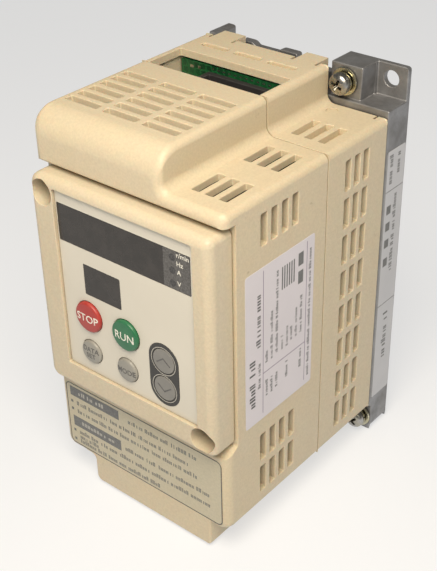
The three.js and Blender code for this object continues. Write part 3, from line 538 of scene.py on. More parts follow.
def zinc_plated(name, colour):
    """Bright zinc plating with a slight yellow passivation, dull patches and painted shade in the gaps."""
    shader = Shader(name, colour, 0.24, Metallic=1.0)
    film = shader.ramp(shader.noise(260, 4), 0.35, 0.7)
    body = shader.mix(film, colour, tuple(c * f for c, f in zip(colour, (0.95, 0.9, 0.72))) + (1.0,))
    # Painted shade: ambient occlusion turns tight corners and gaps towards a dark yellowish brown.
    body = shader.paint_gap_shade(body, 0.0009, 0.8, linear(66, 58, 40))
    shader.colour(body)
    shader.uneven_gloss(700, 3, 0.18, 0.36)
    shader.grain(1800, 2, 0.06, 0.00005)
    return shader.material


def membrane(name, colour):
    """Matt printed keypad film with a fine texture, finger marks and painted shade in the gaps."""
    shader = Shader(name, colour, 0.42, Specular_IOR_Level=0.4)
    handled = shader.ramp(shader.noise(48, 4), 0.35, 0.75, 0.0, 0.35)
    body = shader.mix(handled, colour, tinted(colour, 0.86))
    # Painted shade: ambient occlusion turns tight corners and gaps towards a brownish grey.
    body = shader.paint_gap_shade(body, 0.0012, 0.4, linear(120, 106, 80))
    shader.colour(body)
    shader.uneven_gloss(90, 3, 0.34, 0.5)
    shader.grain(3200, 1, 0.08, 0.00004)
    shader.grain(70, 2, 0.04, 0.0003)
    return shader.material


def smoked_lens(name):
    """Smoked glossy window film, mostly opaque, with faint mottling and wipe marks."""
    shade = linear(52, 49, 46)
    shader = Shader(name, shade, 0.2, Specular_IOR_Level=0.5)
    body = shader.mix(shader.ramp(shader.noise(320, 4), 0.3, 0.7), shade, linear(64, 60, 57))
    shader.colour(body)
    shader.uneven_gloss(55, 4, 0.16, 0.34)
    shader.grain(110, 2, 0.03, 0.0002)
    clear = shader.node("BsdfTransparent", {"Color": linear(120, 112, 108)})
    blend = shader.node("MixShader", {0: 0.8, 1: clear.outputs[0], 2: shader.surface.outputs[0]})
    output = shader.tree.nodes["Material Output"]
    shader.feed(output.inputs["Surface"], blend.outputs[0])
    return shader.material


def coloured_key(name, colour, worn):
    """Moulded key cap: satin, slightly paler where fingers have rubbed it, with painted shade in the tight gaps.
    """
    shader = Shader(name, colour, 0.4, Specular_IOR_Level=0.5)
    rubbed = shader.ramp(shader.noise(210, 4), 0.4, 0.72, 0.0, 0.5)
    body = shader.mix(rubbed, colour, worn)
    # Painted shade: ambient occlusion turns tight gaps towards a darker copy of the cap colour.
    body = shader.paint_gap_shade(body, 0.0007, 0.4, tinted(colour, 0.5))
    shader.colour(body)
    shader.roughness(shader.ramp(rubbed, 0.0, 0.5, 0.34, 0.48))
    shader.grain(2400, 2, 0.08, 0.00004)
    return shader.material


def label_film(name, colour):
    """Printed label stock: satin white film, faint greying and creases."""
    shader = Shader(name, colour, 0.36, Specular_IOR_Level=0.5)
    grey = shader.ramp(shader.noise(60, 5), 0.35, 0.75, 0.0, 0.35)
    shader.colour(shader.mix(grey, colour, tinted(colour, 0.84)))
    shader.uneven_gloss(140, 3, 0.28, 0.44)
    shader.grain(45, 3, 0.06, 0.0003)
    shader.grain(900, 2, 0.03, 0.00004)
    return shader.material


def printed_ink(name, colour, roughness=0.5):
    """Screen-printed ink that is a little uneven and worn through in specks."""
    shader = Shader(name, colour, roughness)
    thin = shader.ramp(shader.noise(1900, 3), 0.35, 0.75, 0.0, 0.4)
    shader.colour(shader.mix(thin, colour, tuple(0.6 * c + 0.4 * 0.45 for c in colour[:3]) + (1.0,)))
    shader.uneven_gloss(600, 2, roughness - 0.08, roughness + 0.08)
    shader.grain(2600, 1, 0.05, 0.00003)
    return shader.material


def circuit_board(name):
    """Green solder mask over copper tracks and pours, with the glass weave just showing."""
    mask = linear(18, 74, 40)
    shader = Shader(name, mask, 0.3, Specular_IOR_Level=0.6)
    inputs = {"Vector": shader.place, "Scale": 420.0, "Randomness": 0.35}
    cells = shader.node("TexVoronoi", inputs, feature="DISTANCE_TO_EDGE", distance="MANHATTAN")
    tracks = shader.ramp(cells.outputs["Distance"], 0.07, 0.12)
    body = shader.mix(tracks, linear(28, 92, 50), linear(12, 56, 30))
    pour = shader.ramp(shader.noise(90, 2), 0.48, 0.52)
    body = shader.mix(shader.math("MULTIPLY", pour, 0.5), body, linear(22, 82, 44))
    shader.colour(body)
    shader.uneven_gloss(300, 2, 0.24, 0.4)
    shader.bump(tracks, 0.25, 0.00005)
    shader.grain(3000, 1, 0.05, 0.00003)
    return shader.material


def dark_moulding(name, colour, roughness=0.45):
    """Glass-filled black or grey plastic of connectors and packages, with lighter edges that are partly wear and
    partly painted highlight.
    """
    shader = Shader(name, colour, roughness)
    # Lighter edges: partly edge wear, partly a painted highlight along the edges.
    worn = shader.math("MULTIPLY", shader.edges(0.0003), 0.35)
    flecks = shader.ramp(shader.noise(1300, 3, 0.7), 0.4, 0.75, 0.0, 0.35)
    body = shader.mix(flecks, colour, tinted(colour, 1.7))
    shader.colour(shader.mix(worn, body, tuple(min(1.0, c + 0.12) for c in colour[:3]) + (1.0,)))
    shader.roughness(shader.ramp(flecks, 0.0, 0.35, roughness - 0.05, roughness + 0.12))
    shader.grain(2200, 2, 0.12, 0.00005)
    return shader.material


def glossy_part(name, colour, roughness=0.15):
    """Sleeves, glass and lacquered windings: smooth, with slight ripples and dust."""
    shader = Shader(name, colour, roughness)
    dust = shader.ramp(shader.noise(240, 4), 0.45, 0.8, 0.0, 0.35)
    shader.colour(shader.mix(dust, colour, linear(150, 146, 138)))
    shader.roughness(shader.ramp(dust, 0.0, 0.35, roughness, roughness + 0.25))
    shader.grain(160, 2, 0.05, 0.0002)
    return shader.material


BEIGE = linear(204, 190, 163)
HOUSING = moulded_plastic("housing_plastic", BEIGE)
BEZEL_PLASTIC = moulded_plastic("bezel_plastic", linear(203, 190, 165), yellowing=0.2)
OVERLAY_FILM = membrane("overlay_film", linear(208, 202, 188))
SMOKE = smoked_lens("smoked_film")
PAD_PLASTIC = dark_moulding("pad_plastic", linear(48, 47, 45), 0.5)
ALUMINIUM = cast_aluminium("cast_aluminium")
ZINC = zinc_plated("zinc_plate", linear(190, 187, 168))
STEEL = zinc_plated("steel_head", linear(168, 167, 166))
WHITE_LABEL = label_film("white_label", linear(210, 204, 208))
SILVER_LABEL = label_film("silver_label", linear(190, 190, 193))
PANEL_FILM = moulded_plastic("panel_film", linear(198, 185, 160), roughness=0.42, grain=0.05)
DARK_INK = printed_ink("dark_ink", linear(72, 70, 68))
GREY_INK = printed_ink("grey_ink", linear(96, 96, 95))
RULE_INK = printed_ink("rule_ink", linear(120, 100, 128))
WHITE_INK = printed_ink("white_ink", linear(226, 222, 210))
SPOT_INK = printed_ink("spot_ink", linear(34, 31, 30), 0.25)
TINT = printed_ink("tint_ink", linear(70, 67, 64), 0.25)
PALE_INK = printed_ink("pale_ink", linear(176, 172, 162))
BOARD = circuit_board("solder_mask")
BLACK_PLASTIC = dark_moulding("black_plastic", linear(44, 42, 42))
GREY_PLASTIC = dark_moulding("grey_plastic", linear(124, 126, 128))
SOLDER = zinc_plated("solder", linear(206, 206, 204))
LAMP = glossy_part("lamp_resin", linear(120, 30, 26), 0.12)
KEY_COLOURS = {
    "stop_key": coloured_key("red_cap", linear(158, 46, 40), linear(172, 78, 68)),
    "run_key": coloured_key("green_cap", linear(34, 100, 64), linear(68, 122, 90)),
    "data_set_key": coloured_key("grey_cap", linear(140, 137, 129), linear(156, 153, 144)),
    "mode_key": coloured_key("grey_cap_2", linear(140, 137, 129), linear(156, 153, 144)),
    "up_key": coloured_key("arrow_cap", linear(120, 118, 113), linear(138, 135, 129)),
    "down_key": coloured_key("arrow_cap_2", linear(120, 118, 113), linear(138, 135, 129)),
}


# ---------------------------------------------------------------- housing
def side_vents(rows, count, first_y, pitch):
    cutters = []
    for row in rows:
        z = VENT_ROW_TOP - row * VENT_ROW_PITCH - VENT_HEIGHT / 2
        for index in range(count):
            y = first_y + index * pitch + VENT_WIDTH / 2
            for face, x in (("left", -HALF_WIDTH), ("right", HALF_WIDTH)):
                cutters.append(opening(face, (x, y, z), (VENT_WIDTH, VENT_HEIGHT), VENT_DEPTH, draft=0.05))
    return cutters


def shoulder_vents(first_y, depth):
    cutters = []
    for index in range(3):
        x = SHOULDER_VENT["left"] + index * SHOULDER_VENT["pitch"] + VENT_WIDTH / 2
        centre = (x, first_y + SHOULDER_VENT["length"] / 2, SHOULDER_Z)
        cutters.append(opening("top", centre, (VENT_WIDTH, SHOULDER_VENT["length"]), depth, draft=0.05))
    return cutters


def round_over(radius, depth):
    """How far an edge rounded by radius has drawn in at a depth behind the face."""
    return radius - math.sqrt(radius ** 2 - (radius - min(depth, radius)) ** 2)


def front_section(depth, seam_inset=0.0):
    """The housing's outline at a depth behind its front face. Each edge draws in by its own radius."""
    insets = [round_over(radius, depth) + seam_inset for radius in FACE_ROUNDS.values()]
    side, riser, shoulder, hood, base = insets
    return rounded_outline([
        (-HALF_WIDTH + side, base, TOP_RADIUS),
        (HALF_WIDTH - side, base, TOP_RADIUS),
        (HALF_WIDTH - side, SHOULDER_Z - shoulder, TOP_RADIUS),
        (HOOD_RIGHT - riser, SHOULDER_Z - shoulder, RISER_RADIUS + 0.3 * riser),
        (HOOD_RIGHT - riser, HOOD_Z - hood, TOP_RADIUS),
        (-HALF_WIDTH + side, HOOD_Z - hood, TOP_RADIUS),
    ], 8)


def front_block():
    """The front case before it is hollowed, with the recess for the keypad unit."""
    hood_depths = {HOOD_FILLET * (1 - math.cos(angle)) for angle in quarter(24)}
    side_depths = {FACE_ROUNDS["side"] * (1 - math.cos(angle)) for angle in quarter(10, 1)}
    depths = sorted(hood_depths | side_depths)
    length = SEAM_FRONT - FACE_Y
    stages = [(depth, 0.0) for depth in depths] + [(length - SEAM_ROUND, 0.0), (length, SEAM_ROUND)]
    solid = loft([[Vector((p[0], FACE_Y + d, p[1])) for p in front_section(d, inset)] for d, inset in stages])
    lip, brow, sill = 0.9, 1.0, 0.9
    arc = quarter(6)
    recess = [(FACE_Y - 1, HOOD_BOTTOM + lip)]
    recess += [(FACE_Y + lip * (1 - math.cos(t)), HOOD_BOTTOM + lip * (1 - math.sin(t))) for t in arc]
    recess.append((PANEL_Y, HOOD_BOTTOM))
    recess += [(PANEL_Y - brow * (1 - math.cos(t)), LEDGE_TOP + brow * (1 - math.sin(t))) for t in arc]
    sill_top = LEDGE_BOTTOM + 0.25
    recess += [(FACE_Y + sill * (1 - math.sin(t)), sill_top - sill * (1 - math.cos(t))) for t in arc]
    recess.append((FACE_Y - 1, sill_top - sill))
    solid = boolean(solid, prism(recess, "X", -HALF_WIDTH - 1, HALF_WIDTH + 1))
    panel_edges = [
        ("Z", {"x": -HALF_WIDTH, "y": PANEL_Y}, 0.6),
        ("Z", {"x": HALF_WIDTH, "y": PANEL_Y}, 0.6),
    ]
    return rounded(solid, panel_edges, segments=4)


def skirt_block():
    """The cable skirt under the front face, with a concave blend where it leaves the housing."""
    left, right, low, back = SKIRT["left"], SKIRT["right"], SKIRT["bottom"], SKIRT["back"]
    edge = 0.6
    depths = [edge * (1 - math.cos(angle)) for angle in quarter(5)]
    loops = []
    for depth in depths + [back - FACE_Y]:
        inset = round_over(edge, depth)
        loops.append([Vector((p[0], FACE_Y + depth, p[1])) for p in rounded_outline([
            (left - 4, 2.5),
            (left - 4, inset),
            (left + inset, inset, 2.2),
            (left + inset, low + inset, 1.8),
            (right - inset, low + inset, 1.2),
            (right - inset, 2.5),
        ], 6)])
    return loft(loops)


def front_cavity():
    """The hollow of the front case: a tall part under the hood and a low part under the shoulder."""
    back = SEAM_FRONT + 1
    face, panel = FACE_Y + WALL, PANEL_Y + WALL
    hood_top, shoulder_top = HOOD_Z - WALL, SHOULDER_Z - 2.1
    chamfer = 6.0
    lower = [
        (panel, LEDGE_TOP - 1.5),
        (face, LEDGE_BOTTOM - 1.5),
        (face, WALL),
        (back, WALL),
    ]
    tall = [
        (back, hood_top),
        (face + chamfer, hood_top),
        (face, hood_top - chamfer),
        (face, HOOD_BOTTOM + WALL),
        (panel, HOOD_BOTTOM + WALL),
    ]
    low = [(back, shoulder_top), (panel, shoulder_top)]
    left, right = -HALF_WIDTH + WALL, HALF_WIDTH - WALL
    return united([
        prism(low + lower, "X", left, right),
        prism(tall + lower, "X", left, HOOD_RIGHT - WALL),
    ])


def hood_vents():
    cutters = []
    for column in range(3):
        for row in range(6):
            x = HOOD_VENT["left"] + column * HOOD_VENT["pitch_x"] + HOOD_VENT["width"] / 2
            y = HOOD_VENT["front"] + row * HOOD_VENT["pitch_y"] + VENT_WIDTH / 2
            size = (HOOD_VENT["width"], VENT_WIDTH)
            cutters.append(opening("top", (x, y, HOOD_Z), size, VENT_DEPTH, draft=0.05))
    return cutters


def add_front_case():
    shell = boolean(boolean(front_block(), skirt_block(), "UNION"), front_cavity())
    wall = SKIRT["wall"]
    under_skirt = block(
        SKIRT["left"] + wall, SKIRT["right"] - wall,
        FACE_Y + wall, SKIRT["back"] + 1,
        SKIRT["bottom"] - 1, 0.01,
    )
    shell = boolean(shell, under_skirt)
    opening_x = (CABLE_OPENING["left"] + CABLE_OPENING["right"]) / 2
    opening_y = (CABLE_OPENING["front"] + CABLE_OPENING["back"]) / 2
    opening_size = (
        CABLE_OPENING["right"] - CABLE_OPENING["left"],
        CABLE_OPENING["back"] - CABLE_OPENING["front"],
    )
    cutters = [opening("bottom", (opening_x, opening_y, 0), opening_size, VENT_DEPTH, corner=1.0, rim=0.1)]
    for index in range(6):
        centre = (-25 + index * 9 + VENT_WIDTH / 2, -51.5, 0)
        cutters.append(opening("bottom", centre, (VENT_WIDTH, 11), VENT_DEPTH))
    cutters.append(opening("front", (0, PANEL_Y, 66), (24, 12), VENT_DEPTH, corner=1.0, rim=0.1))
    cutters += hood_vents()
    cutters += shoulder_vents(-80.9, VENT_DEPTH)
    cutters += shoulder_vents(-59.0, VENT_DEPTH)
    cutters += side_vents((0, 6, 7), 4, -72.9, 4.7)
    place("housing_front", cut(shell, cutters), HOUSING, stands_for=["front_case"])


def housing_outline(inset):
    """The front view of the housing as (x, z): a tall left part and a lower right shoulder."""
    return [
        (-HALF_WIDTH + inset, inset),
        (HALF_WIDTH - inset, inset),
        (HALF_WIDTH - inset, SHOULDER_Z - inset),
        (HOOD_RIGHT - inset, SHOULDER_Z - inset),
        (HOOD_RIGHT - inset, HOOD_Z - inset),
        (-HALF_WIDTH + inset, HOOD_Z - inset),
    ]


REAR_ROUNDS = [
    ("Y", {"x": -HALF_WIDTH, "z": HOOD_Z}, TOP_RADIUS),
    ("Y", {"x": HOOD_RIGHT, "z": HOOD_Z}, TOP_RADIUS),
    ("Y", {"x": HOOD_RIGHT, "z": SHOULDER_Z}, RISER_RADIUS),
    ("Y", {"x": HALF_WIDTH, "z": SHOULDER_Z}, TOP_RADIUS),
    ("Y", {"x": -HALF_WIDTH, "z": 0}, TOP_RADIUS),
    ("Y", {"x": HALF_WIDTH, "z": 0}, TOP_RADIUS),
    (None, {"y": SEAM_BACK}, 0.16),
    (None, {"y": CASE_BACK}, 0.3),
]


def add_rear_case():
    outer = prism(housing_outline(0), "Y", SEAM_BACK, CASE_BACK)
    inner = prism(housing_outline(WALL), "Y", SEAM_BACK - 1, CASE_BACK + 1)
    shell = boolean(rounded(outer, REAR_ROUNDS, segments=8), inner)
    tab_floor = HOOD_Z - WALL
    tabs = []
    for left, right in SNAP_TABS:
        tab = block(left + 0.45, right - 0.45, CASE_BACK - 5, REAR.high.y, tab_floor, HOOD_Z - 0.02)
        tabs.append(rounded(tab, [(None, {"y": REAR.high.y}, 0.5)], segments=4))
    slits = [
        block(x - 0.45, x + 0.45, -14.6, -5, tab_floor - 1, HOOD_Z + 1) for tab in SNAP_TABS for x in tab
    ]
    slits.append(block(31.2, 31.9, -14.4, -10, SHOULDER_Z - WALL - 1, SHOULDER_Z + 1))
    shell = united([shell, *tabs])
    left, right, back = TOP_WINDOW["left"], TOP_WINDOW["right"], TOP_WINDOW["back"]
    window_middle = ((left + right) / 2, (SEAM_BACK - 4 + back) / 2, HOOD_Z)
    window_size = (right - left, back - SEAM_BACK + 4)
    window = opening("top", window_middle, window_size, WALL + 1, corner=0.3, rim=0.2)
    cutters = [*slits, window]
    for index in range(3):
        centre = (-28.8 + index * 13 + 5.05, -20.5, HOOD_Z)
        cutters.append(opening("top", centre, (10.1, 2.2), 1.1, corner=0.7))
    cutters.append(block(-26, 26, -40.6, -29, -1, WALL + 0.6))
    cutters.append(round_opening("top", (18.4, -16.8, SHOULDER_Z), 1.9, 0.35, rim=0.12))
    cutters += shoulder_vents(-37.0, WALL - 0.3)
    cutters += side_vents(range(VENT_ROWS), 3, -33.3, 4.67)
    place("housing_rear", cut(shell, cutters), HOUSING, stands_for=["rear_case"])


# ---------------------------------------------------------------- heat sink and earth screws
SINK_OUTLINE = [
    (-HALF_WIDTH, SINK.low.z),
    (HALF_WIDTH, SINK.low.z),
    (HALF_WIDTH, SINK.high.z),
    (13.1, SINK.high.z),
    (13.1, 113.6),
    (-4.8, 113.6),
    (-4.8, 116.3),
    (-11.6, 116.3),
    (-13.2, 115.0),
    (-21.2, 115.0),
    (-22.8, 116.2),
    (-27.8, 116.2),
    (-27.8, 113.0),
    (-31.8, 113.0),
    (-31.8, 119.4),
    (-HALF_WIDTH, 119.4),
]
SINK_ROUNDS = [
    ("Y", {"x": -HALF_WIDTH, "z": SINK.low.z}, 3.0),
    ("Y", {"x": HALF_WIDTH, "z": SINK.low.z}, 3.4),
    ("Y", {"x": HALF_WIDTH, "z": SINK.high.z}, 1.6),
    ("Y", {"x": -31.8, "z": 119.4}, 1.4),
    ("Y", {"z": 116.3}, 1.1),
    ("Y", {"z": 116.2}, 1.1),
]


def sink_solid():
    low, rim, roof = -HALF_WIDTH, 2.6, 107.6
    plate = prism(SINK_OUTLINE, "Y", -SINK_PLATE, 0)
    ear_gap = block(24.4, HALF_WIDTH + 1, -4, -EAR_PLATE, SINK_LEDGE, SINK.high.z + 1)
    foot_gap = block(low - 1, -24.4, -4, -EAR_PLATE, SINK.low.z - 1, 0)
    thinned = cut(plate, [ear_gap, foot_gap])
    boss = prism([(13.1, 109), (23.9, 109), (24.4, SINK.high.z), (13.1, SINK.high.z)], "Y", BOSS_Y, -1)
    return united([
        thinned,
        block(HALF_WIDTH - rim, HALF_WIDTH, SINK_FRONT, -1, 0, SINK_LEDGE),
        block(low, low + rim, SINK_FRONT, -1, 0, roof),
        block(low, HALF_WIDTH, SINK_FRONT, -1, 0, rim),
        block(low, HALF_WIDTH, SINK_FRONT, -1, roof - rim, roof),
        block(13.1, HALF_WIDTH, SINK_FRONT, -1, 106, SINK_LEDGE),
        block(25.4, HALF_WIDTH, BOSS_Y, -1, SINK.low.z, 1),
        boss,
        block(low, -31.8, BOSS_Y, -1, 105, 119.4),
    ])


def outside_housing(ends):
    """True for an edge of the casting that can be seen from outside."""
    return all(end.z > 108 or end.z < 0.5 or abs(end.x) > HALF_WIDTH - 0.1 or end.y > -0.1 for end in ends)


def add_heat_sink():
    casting = rounded(sink_solid(), SINK_ROUNDS, otherwise=0.45, segments=4, where=outside_housing)
    inside = block(-24, 24, -13.2, -1, 30, 75)
    casting = boolean(casting, inside, "UNION")
    holes = [
        round_opening("front", (x, -EAR_PLATE, z), MOUNT_HOLE_RADIUS, 3, rim=0.25) for x, z in MOUNT_HOLES
    ]
    for side in ("upper", "lower"):
        middle = Span(f"earth_screw_{side}").middle
        holes.append(round_opening("front", (middle.x, BOSS_Y, middle.z), 2.3, 7, rim=0.2))
    casting = cut(casting, holes)
    posts = [
        turned([(1.72, -25.4), (3.1, -25.4), (3.1, -1.0), (1.72, -1.0)], x, z, 32)
        for x, z in BOARD_POSTS
    ]
    whole = united([casting, *posts])
    place("heat_sink", whole, ALUMINIUM, stands_for=["heatsink_base"])


def pan_screw(node, head_radius, head_height, shank_radius, twist, count=64):
    """A pan head screw with a cross recess, where its CAD node is."""
    span = Span(node)
    x, z, front = span.middle.x, span.middle.z, span.low.y
    seat = front + head_height
    profile = [(0.02, front)]
    for angle in quarter(10, 1):
        profile.append((head_radius * math.sin(angle), front + head_height * 0.62 * (1 - math.cos(angle))))
    profile += [(head_radius, seat - 0.12), (head_radius - 0.12, seat), (shank_radius, seat)]
    turn_pitch, turns = 0.7, int((span.high.y - seat) / 0.7)
    for turn in range(turns):
        y = seat + 0.2 + turn * turn_pitch
        profile += [(shank_radius - 0.18, y), (shank_radius, y + 0.3), (shank_radius - 0.18, y + 0.6)]
    profile.append((shank_radius * 0.7, span.high.y))
    body = turned(profile, x, z, count)
    arm, half, depth = head_radius * 0.56, head_radius * 0.13, head_height * 0.62
    spin = Matrix.Translation((x, 0, z)) @ Matrix.Rotation(math.radians(twist), 4, "Y")
    wings = []
    for length, width in ((arm, half), (half, arm)):
        stages = [(front - 1, 1.15), (front + depth * 0.4, 1.0), (front + depth, 0.45)]
        loops = [
            [Vector((p[0], y, p[1])) for p in rectangle(-length * s, -width * s, length * s, width * s, 0.08, 2)]
            for y, s in stages
        ]
        wing = loft(loops)
        wing.transform(spin)
        wings.append(wing)
    return boolean(body, united(wings))


def add_earth_screws():
    for side, twist in (("upper", 24), ("lower", 52)):
        screw = f"earth_screw_{side}"
        spring, flat = Span(f"earth_spring_washer_{side}"), Span(f"earth_flat_washer_{side}")
        x, z = flat.middle.x, flat.middle.z
        head = pan_screw(screw, 3.4, 2.7, 1.9, twist)
        place(f"{screw}_head", head, STEEL, stands_for=[screw])
        soft = 0.18
        spring_section = rectangle(2.15, spring.low.y, 3.3, spring.high.y - 0.25, soft, 2)
        coil = swept_ring(spring_section, x, z, sweep=348, rise=0.25, start=-60 if side == "upper" else 20)
        place(f"spring_washer_{side}", coil, ZINC, stands_for=[f"earth_spring_washer_{side}"])
        flat_section = rectangle(2.2, flat.low.y, 4.3, flat.high.y, soft, 2)
        plain = swept_ring(flat_section, x, z)
        place(f"flat_washer_{side}", plain, ZINC, stands_for=[f"earth_flat_washer_{side}"])


# ---------------------------------------------------------------- keypad unit
def add_bezel():
    low, high = BEZEL.low, BEZEL.high
    solid = block(low.x, high.x, low.y, high.y, low.z, high.z)
    rounds = [
        ("Y", {"x": low.x, "z": high.z}, 4.0),
        ("Y", {"x": high.x, "z": high.z}, 2.2),
        ("Y", {"x": low.x, "z": low.z}, 5.0),
        ("Y", {"x": high.x, "z": low.z}, 1.2),
        ("X", {"y": low.y, "z": high.z}, 3.0),
        ("X", {"y": low.y, "z": low.z}, 1.5),
        ("Z", {"y": low.y}, 2.8),
    ]
    shell = rounded(solid, rounds, segments=10)
    rim = 2.2
    hollow = block(low.x + rim, high.x - rim, BEZEL_PLATE_BACK, high.y + 1, low.z + rim, high.z - rim)
    shell = boolean(shell, hollow)
    screws = [Span("bezel_screw_1").middle, Span("bezel_screw_2").middle]
    envelope = block(low.x + 1, high.x - 1, BEZEL_PLATE_BACK - 1, high.y, low.z + 0.4, high.z - 0.6)
    for spot in screws:
        outer = POCKET_RADIUS + 1.2
        tube = turned([(outer, BEZEL_PLATE_BACK - 0.6), (outer, high.y)], spot.x, spot.z)
        shell = boolean(shell, boolean(tube, envelope, "INTERSECT"), "UNION")
    pocket_depth = high.y - 2.2 - low.y
    pockets = [
        round_opening("front", (spot.x, low.y, spot.z), POCKET_RADIUS, pocket_depth, rim=0.3) for spot in screws
    ]
    shell = cut(shell, pockets)
    margin = 0.3
    middle = (OVERLAY.middle.x, low.y, OVERLAY.middle.z)
    size = (OVERLAY.size.x + 2 * margin, OVERLAY.size.z + 2 * margin)
    recess = opening("front", middle, size, RECESS_BACK - low.y, corner=0.7, rim=0.22, per_quarter=5)
    shell = cut(shell, [recess])
    through = high.y - low.y
    holes = [round_opening("front", (spot.x, high.y - 2.3, spot.z), 1.7, 4, rim=0.1) for spot in screws]
    for window in (LENS, SMALL_WINDOW):
        centre = (window.middle.x, RECESS_BACK - 0.1, window.middle.z)
        holes.append(opening("front", centre, (window.size.x - 1.6, window.size.z - 1.6), through, rim=0.1))
    for key in KEYS:
        middle = Span(key).middle
        spot = (middle.x, RECESS_BACK - 0.1, middle.z)
        holes.append(round_opening("front", spot, key_radius(key) - 0.3, through, rim=0.1))
    place("bezel", cut(shell, holes), BEZEL_PLASTIC, stands_for=["keypad_bezel"])
    for index, twist in ((1, 15), (2, 40)):
        node = f"bezel_screw_{index}"
        head = pan_screw(node, 2.7, 2.1, 1.4, twist, 40)
        place(f"{node}_head", head, STEEL, stands_for=[node])


def key_radius(key):
    """The radius of a key's cap. The widest part of the node is the flange behind the bezel."""
    return Span(key).size.x / 2 - FLANGE_WIDTH


def capsule(grow):
    """The arrow keys' surround as an outline with round ends."""
    radius = ARROW_PAD.size.x / 2 + grow
    low, high = ARROW_PAD.low, ARROW_PAD.high
    return rectangle(low.x - grow, low.z - grow, high.x + grow, high.z + grow, radius - 0.001, 12)


def thin_plate(outline, front, back, edge=0.08):
    """A flat plate facing -Y with a slightly rounded front edge."""
    centre = sum((Vector(p) for p in outline), Vector((0, 0))) / len(outline)
    reach = max((Vector(p) - centre).length for p in outline)
    loops = []
    for y, inset in ((front, edge), (front + edge * 0.3, edge * 0.3), (front + edge, 0), (back, 0)):
        share = 1 - inset / reach
        loops.append([Vector((centre.x + (p[0] - centre.x) * share, y, centre.y + (p[1] - centre.y) * share))
                      for p in outline])
    return loft(loops)


def add_overlay():
    grow, back = 0.2, OVERLAY.high.y
    low, high = OVERLAY.low, OVERLAY.high
    outline = rectangle(low.x - grow, low.z - grow, high.x + grow, high.z + grow, 0.6)
    sheet = thin_plate(outline, OVERLAY_FRONT, back)
    fit = 0.06
    cutters = []
    for window in (LENS, SMALL_WINDOW):
        low, high = window.low, window.high
        outline = rectangle(low.x - fit, low.z - fit, high.x + fit, high.z + fit, 0.4)
        cutters.append(prism(outline, "Y", OVERLAY_FRONT - 1, back + 1))
    cutters.append(prism(capsule(fit), "Y", OVERLAY_FRONT - 1, back + 1))
    for key in KEYS:
        if key not in ARROW_KEYS:
            middle = Span(key).middle
            spot = (middle.x, OVERLAY_FRONT, middle.z)
            cutters.append(round_opening("front", spot, key_radius(key) + KEY_GAP, 2, rim=0.12))
    place("overlay_sheet", cut(sheet, cutters), OVERLAY_FILM, stands_for=["keypad_overlay"])
    for name, window in (("display_lens", LENS), ("indicator_window", SMALL_WINDOW)):
        outline = rectangle(window.low.x, window.low.z, window.high.x, window.high.z, 0.35)
        lens = thin_plate(outline, OVERLAY_FRONT, back, 0.05)
        place(f"{name}_film", lens, SMOKE, stands_for=[name])
    pad = thin_plate(capsule(0), ARROW_PAD.low.y, back, 0.14)
    wells = []
    for key in ARROW_KEYS:
        middle = Span(key).middle
        spot = (middle.x, ARROW_PAD.low.y, middle.z)
        wells.append(round_opening("front", spot, key_radius(key) + KEY_GAP, 2, rim=0.1))
    place("arrow_pad", cut(pad, wells), PAD_PLASTIC, stands_for=["arrow_key_surround"])


def dome_height(key):
    """How far a key's face falls from its centre to where its edge starts to round."""
    return 0.08 if key in ARROW_KEYS else 0.28


def add_key(key):
    """A key cap with a gently domed face, its flange behind the bezel and the stem that works the switch."""
    span = Span(key)
    radius = key_radius(key)
    x, z, front, back = span.middle.x, span.middle.z, span.low.y, span.high.y
    edge = 0.25 if key in ARROW_KEYS else 0.75
    dome = dome_height(key)
    flat = radius - edge
    profile = [(0.02, front)]
    for step in range(1, 7):
        share = step / 6
        profile.append((flat * share, front + dome * share ** 2))
    for angle in quarter(6, 1):
        profile.append((flat + edge * math.sin(angle), front + dome + edge * (1 - math.cos(angle))))
    step_back = RECESS_BACK - 0.6
    flange = BEZEL_PLATE_BACK + 0.3
    profile += [
        (radius, step_back),
        (radius - 0.6, step_back),
        (radius - 0.6, flange),
        (radius + FLANGE_WIDTH, flange),
        (radius + FLANGE_WIDTH, flange + 0.6),
        (1.6, flange + 0.6),
        (1.6, back),
    ]
    place(f"{key}_cap", turned(profile, x, z, 72), KEY_COLOURS[key], body=key,
          stands_for=[key])


def lettering(text, size, thickness=0.1, weight=0.02):
    """Flat letters as a mesh in X and Z, centred on the origin, with their front at Y = 0."""
    curve = bpy.data.curves.new("letters", "FONT")
    curve.body = text
    curve.size = size
    curve.align_x = "CENTER"
    curve.align_y = "CENTER"
    curve.extrude = thickness / 2
    curve.offset = weight
    curve.resolution_u = 3
    curve.space_line = 0.92
    holder = new_object("letters", curve)
    depsgraph = bpy.context.evaluated_depsgraph_get()
    mesh = bpy.data.meshes.new_from_object(holder.evaluated_get(depsgraph), depsgraph=depsgraph)
    bpy.data.objects.remove(holder)
    mesh.transform(Matrix.Rotation(math.pi / 2, 4, "X"))
    middle = [(min(axis) + max(axis)) / 2 for axis in zip(*[v.co for v in mesh.vertices])]
    front = min(v.co.y for v in mesh.vertices)
    mesh.transform(Matrix.Translation((-middle[0], -front, -middle[2])))
    return mesh


def stroke(points, width, thickness):
    """A bent line of even width through (x, z) points, as a plate with its front at Y = 0."""
    points = [Vector(p) for p in points]
    left, right = [], []
    for index, point in enumerate(points):
        before = (point - points[index - 1]).normalized() if index else None
        after = (points[index + 1] - point).normalized() if index < len(points) - 1 else None
        along = ((before or after) + (after or before)).normalized()
        side = Vector((-along.y, along.x))
        scale = 1 / max(side.dot(Vector((-(after or before).y, (after or before).x))), 0.3)
        left.append(point + side * width / 2 * scale)
        right.append(point - side * width / 2 * scale)
    return prism(left + right[::-1], "Y", 0, thickness)


